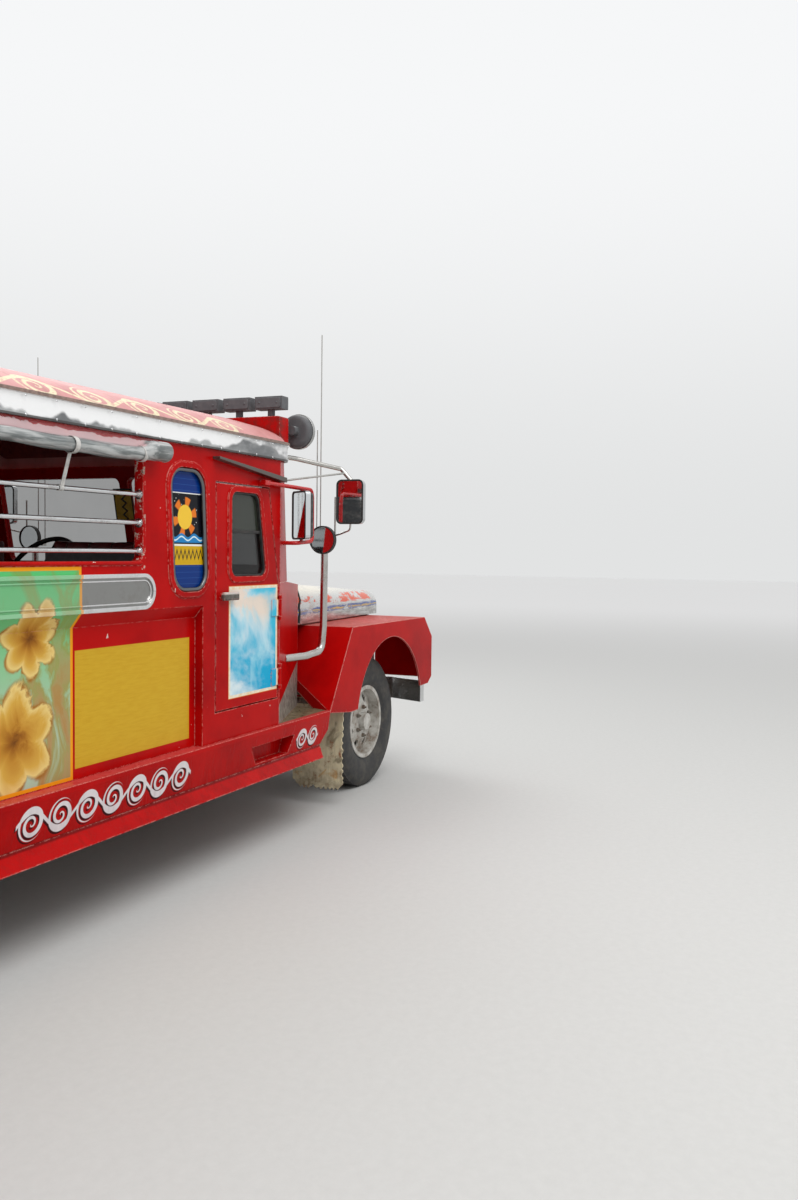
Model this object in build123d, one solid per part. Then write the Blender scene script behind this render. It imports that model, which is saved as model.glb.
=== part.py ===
from build123d import *
import os
from math import atan2, cos, degrees, radians, sin

# A jeepney: a long public passenger vehicle with an open-sided cabin, a small cab and a short hooded nose.
# Millimetres. X points forward, Y to the left, Z up. The origin is on the ground under the vehicle's middle.

# Driving dimensions: running gear
FRONT_AXLE_X = 2460
WHEELBASE = 3750
REAR_AXLE_X = FRONT_AXLE_X - WHEELBASE
TYRE_R = 385
TYRE_WIDTH = 200
RIM_R = 203
FRONT_TRACK_Y = 760          # middle of a front tyre
TWIN_INNER_Y = 605           # middles of the two rear tyres on each side
TWIN_OUTER_Y = 825
KINGPIN_Y = 650
RAIL_Y = 410                 # middle of a chassis rail
RAIL_WIDTH = 66
RAIL_HEIGHT = 130
SPRING_WIDTH = 64

# Driving dimensions: body
WALL_HALF = 980              # outside of the upper wall and of the doors
WALL = 40                    # thickness of walls and doors
LEDGE = 40                   # how far the upper wall overhangs the lower panel
SKIRT_OUT = 60               # how far the skirt stands out from the lower panel
SKIRT_GROOVE = 25            # depth of the groove pressed along it
SKIRT_FLARE = 30             # how far its bottom edge flares out
SHEET = 12                   # thickness of bent sheet panels
REAR_X = -3100               # outside of the rear wall
STEP_REAR_X = -3240          # back edge of the rear step
LEDGE_END_X = 520            # where the lower panel comes out flush, behind the door
DOOR_REAR_X = 620
DOOR_FRONT_X = 1150
COWL_REAR_X = 1170           # where the cowl's side starts, in front of the door post
COWL_FRONT_X = 1765          # bulkhead in front of the driver's feet
COWL_FRONT_HALF = 752
SCREEN_BASE_X = 1385         # foot of the windscreen frame, front face
SCREEN_LEAN = 120            # how far the screen leans back over its height
SCREEN_HALF = 900
NOSE_X = 3240                # front face of the front bumper
GRILLE_X = 3095              # front face of the grille

# Driving dimensions: heights
SKIRT_LOW = 342
SKIRT_TOP = 565
FLOOR_Z = 660
FLOOR_THICK = 30
LEDGE_Z = 1166
BELT_Z = 1250
SILL_Z = 1353
WINDOW_TOP_Z = 1790
EAVES_Z = 1830
BAND_TOP_Z = 1906
ROOF_TOP_Z = 2130
DOOR_LOW_Z = 700
DOOR_TOP_Z = 1690
FENDER_TOP_Z = 990
STEP_WELL_Z = 565

# Clearances
SEAT_GAP = 0.3               # a soft or round piece at rest on what carries it
DOOR_GAP = 6                 # all round a door or the hood
PIN_GAP = 0.5                # round a pin in its bore
HINGE_GAP = 0.6              # between the barrels of a hinge

RAIL_TOP = FLOOR_Z - FLOOR_THICK
RAIL_LOW = RAIL_TOP - RAIL_HEIGHT
LOWER_HALF = WALL_HALF - LEDGE
INNER_LOW = LOWER_HALF - WALL
INNER_TOP = WALL_HALF - WALL
SKIRT_HALF = LOWER_HALF + SKIRT_OUT
SKIRT_EDGE_HALF = SKIRT_HALF + SKIRT_FLARE
SIDES = {"left": 1, "right": -1}

os.makedirs("parts", exist_ok=True)


def block(x, y, z):
    """A box between the low and the high value along each axis."""
    size = Box(x[1] - x[0], y[1] - y[0], z[1] - z[0])
    return Pos((x[0] + x[1]) / 2, (y[0] + y[1]) / 2, (z[0] + z[1]) / 2) * size


def outline(points, radius=0):
    """A closed flat outline through the points, with its corners rounded if a radius is given."""
    face = make_face(Polyline(*points, close=True))
    return fillet(face.vertices(), radius) if radius else face


def along_x(face, x):
    """A flat outline in Y and Z, drawn out between two values of X."""
    return extrude(Plane(origin=(x[0], 0, 0), x_dir=(0, 1, 0), z_dir=(1, 0, 0)) * face, x[1] - x[0])


def along_y(face, y):
    """A flat outline in X and Z, drawn out between two values of Y."""
    return extrude(Plane(origin=(0, y[1], 0), x_dir=(1, 0, 0), z_dir=(0, -1, 0)) * face, y[1] - y[0])


def along_z(face, z):
    """A flat outline in X and Y, drawn out between two values of Z."""
    return extrude(Pos(0, 0, z[0]) * face, z[1] - z[0])


def rod_x(radius, x, y, z):
    return Pos((x[0] + x[1]) / 2, y, z) * Rot(0, 90, 0) * Cylinder(radius, x[1] - x[0])


def rod_y(radius, y, x, z):
    return Pos(x, (y[0] + y[1]) / 2, z) * Rot(90, 0, 0) * Cylinder(radius, y[1] - y[0])


def rod_z(radius, z, x, y):
    return Pos(x, y, (z[0] + z[1]) / 2) * Cylinder(radius, z[1] - z[0])


def bent_tube(points, bend, radius):
    """A round tube along straight runs with a bend at each inner point."""
    path = FilletPolyline(*points, radius=bend)
    start = Plane(origin=path @ 0, z_dir=path % 0)
    return sweep(start * Circle(radius), path=path)


def both(shape):
    """The shape and its mirror image on the other side of the vehicle, as separate solids."""
    return Compound(children=list(shape.solids()) + list(mirror(shape, about=Plane.XZ).solids()))


def side_of(shape, side):
    """The shape drawn on the left, or its mirror image on the right."""
    return shape if side == 1 else mirror(shape, about=Plane.XZ)


def write(name, shape):
    solids = list(shape.solids())
    piece = solids[0] if len(solids) == 1 else Compound(children=solids)
    piece.label = name
    export_step(piece, f"parts/{name}.step")


# Chassis frame: two box rails. The cross members lie between them, and outriggers reach out to the side walls.
RAIL_X = (-3060, 3070)
CROSS_WIDTH = 70
CROSS_HEIGHT = 80
CROSS_PLACES = (-2990, -2150, -560, 260, 1240, 3000)
OUTRIGGER_PLACES = (-2500, -420, 300, 1040)
OUTRIGGER_HEIGHT = 70
rail_y = (RAIL_Y - RAIL_WIDTH / 2, RAIL_Y + RAIL_WIDTH / 2)


def chassis_frame():
    return both(block(RAIL_X, rail_y, (RAIL_LOW, RAIL_TOP)))


def cross_members():
    members = []
    for x in CROSS_PLACES:
        cross_x = (x - CROSS_WIDTH / 2, x + CROSS_WIDTH / 2)
        members += block(cross_x, (-rail_y[0], rail_y[0]), (RAIL_TOP - CROSS_HEIGHT, RAIL_TOP)).solids()
    root = (rail_y[1], RAIL_TOP - OUTRIGGER_HEIGHT - 40)
    for x in OUTRIGGER_PLACES:
        arm = outline([root, (rail_y[1], RAIL_TOP), (INNER_LOW, RAIL_TOP), (INNER_LOW, SKIRT_TOP)])
        members += both(along_x(arm, (x - CROSS_WIDTH / 2, x + CROSS_WIDTH / 2))).solids()
    return Compound(children=members)


# Leaf springs: four packs under the rails. Each bow of leaves rests on its axle and hangs from two shackles.
SPRING_HALF = 560
LEAF = 7
SPRING_SEAT_Z = 435          # top of each axle at its spring seat
FRONT_LEAVES = 4
REAR_LEAVES = 6
SPRING_TABLE = (  # axle place, number of leaves
    (FRONT_AXLE_X, FRONT_LEAVES),
    (REAR_AXLE_X, REAR_LEAVES),
)
SHACKLE = 26


def leaf_springs():
    packs = []
    rise = 18
    for axle_x, leaves in SPRING_TABLE:
        pack = None
        for leaf in range(leaves):
            reach = SPRING_HALF * (1 - 0.8 * (leaves - 1 - leaf) / leaves)
            low = SPRING_SEAT_Z + leaf * LEAF
            end = low + rise * (reach / SPRING_HALF) ** 2
            rear = axle_x - reach
            front = axle_x + reach
            under = ThreePointArc((rear, end), (axle_x, low), (front, end))
            over = ThreePointArc((front, end + LEAF), (axle_x, low + LEAF), (rear, end + LEAF))
            ends = Line(under @ 1, over @ 0) + Line(over @ 1, under @ 0)
            bow = along_y(make_face(under + over + ends), (RAIL_Y - SPRING_WIDTH / 2, RAIL_Y + SPRING_WIDTH / 2))
            pack = bow if pack is None else pack + bow
        top = SPRING_SEAT_Z + leaves * LEAF
        for end in (-1, 1):
            x = axle_x + end * (SPRING_HALF - SHACKLE / 2)
            shackle_z = (top + rise - 2 * LEAF, RAIL_LOW)
            pack += block((x - SHACKLE / 2, x + SHACKLE / 2), (RAIL_Y - 20, RAIL_Y + 20), shackle_z)
        packs.append(pack)
    return both(Compound(children=[solid for pack in packs for solid in pack.solids()]))


# Front axle: a forged beam, low in the middle, with a boss at each end for the kingpin.
AXLE_Z = TYRE_R
BEAM_WIDTH = 70
BOSS_R = 30
BOSS_HALF = 45
KINGPIN_R = 14


def front_axle():
    half = [(0, 300), (300, 300), (370, 350), (590, 350), (KINGPIN_Y, 350)]
    top = [(KINGPIN_Y, 415), (600, 415), (455, SPRING_SEAT_Z), (365, SPRING_SEAT_Z), (290, 365), (0, 365)]
    half_beam = along_x(outline(half + top), (FRONT_AXLE_X - BEAM_WIDTH / 2, FRONT_AXLE_X + BEAM_WIDTH / 2))
    half_beam -= block(
        (FRONT_AXLE_X - BEAM_WIDTH, FRONT_AXLE_X + BEAM_WIDTH),
        (KINGPIN_Y - BOSS_R - 12, KINGPIN_Y + BOSS_R + 12),
        (AXLE_Z + BOSS_HALF, AXLE_Z + 3 * BOSS_HALF),
    )
    half_beam += rod_z(BOSS_R + 8, (AXLE_Z - BOSS_HALF, AXLE_Z + BOSS_HALF), FRONT_AXLE_X, KINGPIN_Y)
    bore_z = (AXLE_Z - 2 * BOSS_HALF, AXLE_Z + 2 * BOSS_HALF)
    half_beam -= rod_z(KINGPIN_R + PIN_GAP, bore_z, FRONT_AXLE_X, KINGPIN_Y)
    return half_beam + mirror(half_beam, about=Plane.XZ)


# Steering knuckle: a yoke round the beam's boss, the kingpin, the spindle that the wheel turns on, and an arm.
YOKE_GAP = 1
SPINDLE_R = 24
SPINDLE_END_Y = FRONT_TRACK_Y + 45
YOKE_OUT_Y = KINGPIN_Y + 62


def knuckle():
    x = FRONT_AXLE_X
    low = AXLE_Z - BOSS_HALF - YOKE_GAP
    high = AXLE_Z + BOSS_HALF + YOKE_GAP
    ear = 18
    yoke = rod_z(BOSS_R, (low - ear, low), x, KINGPIN_Y) + rod_z(BOSS_R, (high, high + ear), x, KINGPIN_Y)
    yoke += block((x - BOSS_R, x + BOSS_R), (KINGPIN_Y, YOKE_OUT_Y), (low - ear, low))
    yoke += block((x - BOSS_R, x + BOSS_R), (KINGPIN_Y, YOKE_OUT_Y), (high, high + ear))
    yoke += block((x - BOSS_R, x + BOSS_R), (YOKE_OUT_Y - 14, YOKE_OUT_Y), (low - ear, high + ear))
    yoke += rod_z(KINGPIN_R, (low - 5, high + 5), x, KINGPIN_Y)
    yoke += rod_y(SPINDLE_R, (YOKE_OUT_Y - 5, SPINDLE_END_Y), x, AXLE_Z)
    arm = block((x - 190, x - BOSS_R + 10), (KINGPIN_Y - 12, KINGPIN_Y + 14), (low - ear, low))
    return yoke + arm


# Rear axle: a tube with a round differential housing and a spindle at each end for the twin wheels.
AXLE_TUBE_R = 50
DIFF_R = 165
DIFF_HALF = 95
DRUM_INNER_Y = 500
REAR_SPINDLE_R = 34
REAR_SPINDLE_END_Y = TWIN_OUTER_Y - 15
SHAFT_R = 38
SHAFT_Z = AXLE_Z
DIFF_NOSE_X = REAR_AXLE_X + 300


def rear_axle():
    axle = rod_y(AXLE_TUBE_R, (-DRUM_INNER_Y + 12, DRUM_INNER_Y - 12), REAR_AXLE_X, AXLE_Z)
    axle += rod_y(REAR_SPINDLE_R, (-REAR_SPINDLE_END_Y, REAR_SPINDLE_END_Y), REAR_AXLE_X, AXLE_Z)
    housing = rod_y(DIFF_R, (-DIFF_HALF, DIFF_HALF), REAR_AXLE_X, AXLE_Z)
    axle += fillet(housing.edges().filter_by(GeomType.CIRCLE), 40)
    axle += rod_x(62, (REAR_AXLE_X, DIFF_NOSE_X), 0, SHAFT_Z)
    for side in (-1, 1):
        seat_y = (side * RAIL_Y - 38, side * RAIL_Y + 38)
        axle += block((REAR_AXLE_X - 70, REAR_AXLE_X + 70), seat_y, (AXLE_Z, SPRING_SEAT_Z))
        plate_y = sorted((side * (DRUM_INNER_Y - 20), side * (DRUM_INNER_Y - 12)))
        axle += rod_y(150, plate_y, REAR_AXLE_X, AXLE_Z)
    return axle


# Engine and gearbox: one plain block at its real place and size, with the gearbox as its narrow tail.
ENGINE_X = (COWL_FRONT_X + 195, COWL_FRONT_X + 935)
ENGINE_HALF = 225
ENGINE_Z = (455, 1080)
MOUNT_X = (ENGINE_X[0] + 320, ENGINE_X[0] + 440)
GEARBOX_X = COWL_FRONT_X - 405
GEARBOX_HALF = 130
GEARBOX_Z = (330, 600)


def engine_block():
    engine = block(ENGINE_X, (-ENGINE_HALF, ENGINE_HALF), ENGINE_Z)
    engine += block((GEARBOX_X, ENGINE_X[0]), (-GEARBOX_HALF, GEARBOX_HALF), GEARBOX_Z)
    engine = chamfer(engine.edges().filter_by(Axis.X), 25)
    for side in (-1, 1):
        mount_y = sorted((side * (ENGINE_HALF - 5), side * (RAIL_Y - RAIL_WIDTH / 2)))
        engine += block(MOUNT_X, mount_y, (RAIL_LOW + 30, RAIL_TOP - 10))
    return engine


def driveshaft():
    start = DIFF_NOSE_X
    shaft = rod_x(SHAFT_R, (start, GEARBOX_X), 0, SHAFT_Z)
    for x in (start, GEARBOX_X - 16):
        shaft += rod_x(60, (x, x + 16), 0, SHAFT_Z)
    return shaft


# Fuel tank: a drum with square ends, strapped under the floor outside the left rail.
TANK_X = (-250, 210)
TANK_Y = (500, 830)
TANK_LOW = 385
STRAP = 4


def fuel_tank():
    tank = block(TANK_X, TANK_Y, (TANK_LOW, RAIL_TOP - STRAP))
    tank = fillet(tank.edges().filter_by(Axis.X), 45)
    for x in (TANK_X[0] + 90, TANK_X[1] - 130):
        band = block((x, x + 40), (TANK_Y[0] - STRAP, TANK_Y[1] + STRAP), (TANK_LOW - STRAP, RAIL_TOP))
        tank += band
    return tank


# Exhaust: a pipe from the engine's right side, a silencer under the floor, and a tail before the rear wheel.
PIPE_R = 24
PIPE_Y = -270
PIPE_Z = 440
PIPE_OUTLET = (ENGINE_X[0] + 140, -ENGINE_HALF - PIPE_R - 2, 690)
OUTLET_HALF = 60
SILENCER_X = (350, 860)
SILENCER_R = 75
TAIL_X = REAR_AXLE_X + 810


def exhaust():
    points = [
        PIPE_OUTLET,
        (PIPE_OUTLET[0] - 40, PIPE_OUTLET[1], PIPE_Z),
        (PIPE_OUTLET[0] - 400, PIPE_Y, PIPE_Z),
        (TAIL_X + 150, PIPE_Y, PIPE_Z),
        (TAIL_X, -600, PIPE_Z),
        (TAIL_X, -880, PIPE_Z - 60),
    ]
    pipe = bent_tube(points, 60, PIPE_R)
    pipe += rod_x(SILENCER_R, SILENCER_X, PIPE_Y, PIPE_Z)
    x, y, z = PIPE_OUTLET
    pipe += block((x - OUTLET_HALF, x + OUTLET_HALF), (y - PIPE_R, -ENGINE_HALF), (z - 20, z + 50))
    for x in CROSS_PLACES[3:5]:
        pipe += block((x - 12, x + 12), (PIPE_Y - 12, PIPE_Y + 12), (PIPE_Z, RAIL_TOP - CROSS_HEIGHT))
    return pipe


# Tyres: plain rings of many flats with a bulged wall and a round shoulder, so that each stands on one flat.
BEAD_HALF = 74
FLANGE = 14
TYRE_SIDES = 48
TYRE_SECTION = [  # place across the tyre, radius
    (BEAD_HALF, RIM_R + FLANGE + 2),
    (TYRE_WIDTH / 2, RIM_R + 92),
    (TYRE_WIDTH / 2 - 5, TYRE_R - 26),
    (TYRE_WIDTH / 2 - 22, TYRE_R),
]


def tyre_flats(y, radius):
    """The outline of the flats at one place across the tyre, with the radius measured to their middles."""
    half_turn = 180 / TYRE_SIDES
    flats = RegularPolygon(radius, TYRE_SIDES, major_radius=False, rotation=half_turn)
    return Pos(0, y, 0) * Rot(90, 0, 0) * flats


def tyre(axle_x, middle_y):
    right = [tyre_flats(-across, radius) for across, radius in TYRE_SECTION]
    left = [tyre_flats(across, radius) for across, radius in reversed(TYRE_SECTION)]
    ring = loft(right + left, ruled=True)
    bore = extrude(tyre_flats(BEAD_HALF + 5, RIM_R + SEAT_GAP / 3), 2 * BEAD_HALF + 10)
    return Pos(axle_x, middle_y, AXLE_Z) * (ring - bore)


def rear_tyres():
    inner = tyre(REAR_AXLE_X, TWIN_INNER_Y)
    outer = tyre(REAR_AXLE_X, TWIN_OUTER_Y)
    return Compound(children=[*inner.solids(), *outer.solids()])


def hoop(a, r_in, r_out):
    """A ring about the wheel's axis between two places along it."""
    ring = Cylinder(r_out, a[1] - a[0])
    if r_in:
        ring -= Cylinder(r_in, a[1] - a[0] + 2)
    return Pos(0, (a[0] + a[1]) / 2, AXLE_Z) * Rot(90, 0, 0) * ring


# Rims: a barrel for each tyre, a pressed disc with hand holes, the hub and the brake drum.
RIM_WALL = 9
DISC = 10
HAND_HOLES = 8
HAND_HOLE_R = 24
HAND_HOLE_PITCH_R = 142
HUB_R = 72
DRUM_R = 165


def barrel(middle_y):
    """The part of a rim that the tyre sits on, with a lip outside each bead."""
    ring = hoop((middle_y - BEAD_HALF, middle_y + BEAD_HALF), RIM_R - RIM_WALL, RIM_R)
    for end in (-1, 1):
        lip = sorted((middle_y + end * BEAD_HALF, middle_y + end * (BEAD_HALF + 8)))
        ring += hoop(lip, RIM_R - RIM_WALL, RIM_R + FLANGE)
    return ring


def dished_disc(face_y, edge_y, thick):
    """A pressed wheel disc: flat round the hub at face_y, coned out to the barrel at edge_y, with hand holes."""
    points = [(HUB_R - 20, face_y), (HUB_R + 26, face_y), (RIM_R - RIM_WALL, edge_y)]
    back = [(r, y + thick) for r, y in reversed(points)]
    ring = revolve(Plane.XY * outline(points + back), Axis.Y)
    ring = Pos(0, 0, AXLE_Z) * ring
    for hole in range(HAND_HOLES):
        turn = radians(360 / HAND_HOLES * (hole + 0.5))
        x = HAND_HOLE_PITCH_R * cos(turn)
        z = AXLE_Z + HAND_HOLE_PITCH_R * sin(turn)
        low = min(face_y, edge_y) - 30
        ring -= rod_y(HAND_HOLE_R, (low, low + abs(face_y - edge_y) + 60 + thick), x, z)
    return ring


def front_rim():
    disc_y = FRONT_TRACK_Y + 48
    rim = barrel(FRONT_TRACK_Y) + dished_disc(disc_y, FRONT_TRACK_Y + 10, DISC)
    rim += hoop((YOKE_OUT_Y + 6, disc_y), SPINDLE_R + PIN_GAP, HUB_R)
    rim += hoop((disc_y, disc_y + 42), 0, HUB_R - 22)
    rim += hoop((YOKE_OUT_Y + 6, YOKE_OUT_Y + 60), SPINDLE_R + PIN_GAP, DRUM_R)
    return Pos(FRONT_AXLE_X, 0, 0) * rim


def rear_rim():
    joint_y = (TWIN_INNER_Y + TWIN_OUTER_Y) / 2
    rim = barrel(TWIN_INNER_Y) + barrel(TWIN_OUTER_Y)
    rim += dished_disc(joint_y - DISC, TWIN_INNER_Y + 20, DISC)
    rim += dished_disc(joint_y, TWIN_OUTER_Y - 30, DISC)
    rim += hoop((DRUM_INNER_Y, joint_y), REAR_SPINDLE_R + PIN_GAP, HUB_R)
    rim += hoop((joint_y, REAR_SPINDLE_END_Y), REAR_SPINDLE_R + PIN_GAP, HUB_R)
    rim += hoop((REAR_SPINDLE_END_Y + 1, REAR_SPINDLE_END_Y + 20), 0, HUB_R)
    rim += hoop((REAR_SPINDLE_END_Y - 4, REAR_SPINDLE_END_Y + 2), REAR_SPINDLE_R + PIN_GAP, HUB_R)
    rim += hoop((DRUM_INNER_Y, DRUM_INNER_Y + 110), REAR_SPINDLE_R + PIN_GAP, DRUM_R)
    return Pos(REAR_AXLE_X, 0, 0) * rim


# Floor: one sheet across the cabin and the cab, with a hollow wheel box over each pair of rear tyres.
FLOOR_FRONT_X = 1560
WHEEL_BOX_HALF = 470
WHEEL_BOX_INNER_Y = 470
WHEEL_BOX_TOP = 880
ARCH_R = 480


def floor():
    rear_inner = REAR_X + WALL
    cab_x = LEDGE_END_X + WALL
    sheet = block((rear_inner, cab_x), (-INNER_LOW, INNER_LOW), (RAIL_TOP, FLOOR_Z))
    half_cab = [
        (cab_x, 0),
        (FLOOR_FRONT_X, 0),
        (FLOOR_FRONT_X, cowl_inner_half(FLOOR_FRONT_X)),
        (COWL_REAR_X, cowl_inner_half(COWL_REAR_X)),
        (COWL_REAR_X, INNER_TOP),
        (cab_x, INNER_TOP),
    ]
    cab = along_z(outline(half_cab), (RAIL_TOP, FLOOR_Z))
    sheet += cab + mirror(cab, about=Plane.XZ)
    box_x = (REAR_AXLE_X - WHEEL_BOX_HALF, REAR_AXLE_X + WHEEL_BOX_HALF)
    for side in (-1, 1):
        outer = block(box_x, sorted((side * WHEEL_BOX_INNER_Y, side * INNER_LOW)), (RAIL_TOP, WHEEL_BOX_TOP))
        inner = block(
            (box_x[0] + SHEET, box_x[1] - SHEET),
            sorted((side * (WHEEL_BOX_INNER_Y + SHEET), side * INNER_LOW)),
            (RAIL_TOP - 1, WHEEL_BOX_TOP - SHEET),
        )
        sheet = sheet + outer - inner
    return sheet


# Side walls: pressed panels with a long open window, a port window near the cab, the door opening and its post.
WINDOW_X = (-2930, 110)
WINDOW_POST_X = (-1490, -1400)
PORT_REAR_X = 275
PORT_FRONT_X = 556
PORT_Z = (1227, 1737)
PORT_CORNER = 85
PORT_SURROUND = 26           # width of the raised rim pressed round the port
PORT_RISE = 8
SILL_BEAD_R = 8
COWL_THICK = 32
DOOR_SHAPE = [  # the door's outline in X and Z
    (DOOR_REAR_X, DOOR_LOW_Z),
    (DOOR_FRONT_X, DOOR_LOW_Z),
    (DOOR_FRONT_X, BELT_Z),
    (DOOR_FRONT_X - 90, DOOR_TOP_Z),
    (DOOR_REAR_X, DOOR_TOP_Z),
]


def cowl_half(x):
    """Half width over the slanting cowl side at a place along the vehicle."""
    run = (x - COWL_REAR_X) / (COWL_FRONT_X - COWL_REAR_X)
    return WALL_HALF + (COWL_FRONT_HALF - WALL_HALF) * run


def cowl_inner_half(x):
    return cowl_half(x) - COWL_THICK


def window_cuts():
    """The two openings of the long window, behind and ahead of its post."""
    cuts = []
    for low_x, high_x in ((WINDOW_X[0], WINDOW_POST_X[0]), (WINDOW_POST_X[1], WINDOW_X[1])):
        corners = [(low_x, SILL_Z), (high_x, SILL_Z), (high_x, WINDOW_TOP_Z), (low_x, WINDOW_TOP_Z)]
        cuts.append(outline(corners, 30))
    return cuts


def port_outline(inset=0):
    lean = 32
    points = [
        (PORT_REAR_X + lean + inset, PORT_Z[0] + inset),
        (PORT_FRONT_X - inset, PORT_Z[0] + inset),
        (PORT_FRONT_X - lean - inset, PORT_Z[1] - inset),
        (PORT_REAR_X + inset, PORT_Z[1] - inset),
    ]
    return outline(points, PORT_CORNER - inset)


def side_wall():
    upper_y = (INNER_TOP, WALL_HALF)
    post_end = COWL_REAR_X
    upper = outline([(REAR_X, LEDGE_Z), (post_end, LEDGE_Z), (post_end, EAVES_Z), (REAR_X, EAVES_Z)])
    wall = along_y(upper, upper_y)
    wall += block((LEDGE_END_X, post_end), upper_y, (SKIRT_TOP, LEDGE_Z))
    lower = [
        (INNER_LOW, SKIRT_TOP),
        (LOWER_HALF, SKIRT_TOP),
        (LOWER_HALF, LEDGE_Z - 50),
        (WALL_HALF, LEDGE_Z),
        (INNER_TOP, LEDGE_Z + 10),
        (INNER_LOW, LEDGE_Z - 40),
    ]
    wall += along_x(outline(lower), (REAR_X, LEDGE_END_X + WALL))
    for cut in window_cuts() + [port_outline()]:
        wall -= along_y(cut, (INNER_TOP - 1, WALL_HALF + 1))
    gap = DOOR_GAP
    opening = [
        (DOOR_REAR_X - gap, DOOR_LOW_Z - gap),
        (DOOR_FRONT_X + gap, DOOR_LOW_Z - gap),
        (DOOR_FRONT_X + gap, BELT_Z),
        (DOOR_FRONT_X + gap - 90, DOOR_TOP_Z + gap),
        (DOOR_REAR_X - gap, DOOR_TOP_Z + gap),
    ]
    wall -= along_y(outline(opening), (INNER_LOW - 10, WALL_HALF + 1))
    wall -= rod_y(ARCH_R, (INNER_LOW - 10, WALL_HALF + 10), REAR_AXLE_X, AXLE_Z)
    surround = along_y(port_outline(-PORT_SURROUND), (WALL_HALF, WALL_HALF + PORT_RISE))
    surround = chamfer(surround.edges().group_by(Axis.Y)[-1], PORT_RISE - 3)
    wall += surround - along_y(port_outline(), (INNER_TOP, WALL_HALF + PORT_RISE + 1))
    for x in ((WINDOW_X[0], WINDOW_POST_X[0]), (WINDOW_POST_X[1], WINDOW_X[1])):
        wall += rod_x(SILL_BEAD_R, (x[0] + 12, x[1] - 12), WALL_HALF, SILL_Z - SILL_BEAD_R + 2)
    for middle in HINGE_PLACES:
        for end in (-1, 1):
            z = sorted((middle + end * (HINGE_HALF + HINGE_GAP), middle + end * (HINGE_HALF + 21)))
            wall += rod_z(HINGE_R, z, DOOR_HINGE_X, DOOR_HINGE_Y)
            wall += block((DOOR_HINGE_X, DOOR_HINGE_X + 26), (WALL_HALF, WALL_HALF + 5), z)
    return wall


# Skirts: bent panels below the walls, with a ledge on top, a groove and a flange that flares out at the bottom.
SKIRT_GROOVE_Z = 396
SKIRT_GROOVE_HALF = SKIRT_HALF - SKIRT_GROOVE
SKIRT_THICK = 16
SKIRT_FRONT_X = 1740
POCKET_X = (900, 1305)
POCKET_Z = (410, 496)
POCKET_DEPTH = 75
WELL_REAR_X = 1100


def side_skirt():
    profile = [
        (INNER_LOW, SKIRT_TOP),
        (SKIRT_HALF, SKIRT_TOP),
        (SKIRT_HALF, SKIRT_TOP - 20),
        (SKIRT_GROOVE_HALF, SKIRT_GROOVE_Z),
        (SKIRT_EDGE_HALF, SKIRT_LOW),
        (SKIRT_EDGE_HALF - SKIRT_THICK, SKIRT_LOW),
        (SKIRT_GROOVE_HALF - SKIRT_THICK, SKIRT_GROOVE_Z - 5),
        (SKIRT_HALF - SKIRT_THICK - 4, SKIRT_TOP - SKIRT_THICK),
        (INNER_LOW, SKIRT_TOP - SKIRT_THICK),
    ]
    skirt = along_x(outline(profile), (REAR_X, SKIRT_FRONT_X))
    well = [
        (WELL_REAR_X, INNER_LOW),
        (SKIRT_FRONT_X, INNER_LOW),
        (SKIRT_FRONT_X, cowl_inner_half(SKIRT_FRONT_X)),
        (WELL_REAR_X, cowl_inner_half(SKIRT_FRONT_X)),
    ]
    skirt += along_z(outline(well), (SKIRT_TOP - SKIRT_THICK, SKIRT_TOP))
    pocket = block(
        (POCKET_X[0] - SKIRT_THICK, POCKET_X[1] + SKIRT_THICK),
        (SKIRT_HALF - POCKET_DEPTH - SKIRT_THICK, SKIRT_GROOVE_HALF),
        (POCKET_Z[0] - SKIRT_THICK, POCKET_Z[1] + SKIRT_THICK),
    )
    skirt += pocket
    mouth = [
        (POCKET_X[0] + 60, POCKET_Z[0]),
        (POCKET_X[1] - 40, POCKET_Z[0]),
        (POCKET_X[1], POCKET_Z[1]),
        (POCKET_X[0], POCKET_Z[1]),
    ]
    skirt -= along_y(outline(mouth), (SKIRT_HALF - POCKET_DEPTH, SKIRT_EDGE_HALF + 10))
    nose = [
        (SKIRT_FRONT_X - 200, SKIRT_LOW - 5),
        (SKIRT_FRONT_X + 5, SKIRT_LOW - 5),
        (SKIRT_FRONT_X + 5, SKIRT_TOP - 40),
    ]
    skirt -= along_y(outline(nose), (SKIRT_HALF - 60, SKIRT_EDGE_HALF + 10))
    skirt -= rod_y(ARCH_R, (INNER_LOW - 10, SKIRT_EDGE_HALF + 10), REAR_AXLE_X, AXLE_Z)
    ahead = outline(
        [(COWL_FRONT_X, COWL_FRONT_HALF), (FENDER_REAR_X, FENDER_HALF + 5),
         (FENDER_REAR_X - 11, FENDER_HALF + 35), (COWL_FRONT_X + 50, FENDER_HALF + 35),
         (COWL_FRONT_X + 50, COWL_FRONT_HALF)]
    )
    return skirt - along_z(ahead, (SKIRT_LOW - 10, SKIRT_TOP + 10))


# Rear wall: a flat panel with the passengers' doorway in the middle and a window on each side of it.
DOORWAY_HALF = 330
REAR_WINDOW_Y = (430, 860)


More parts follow.
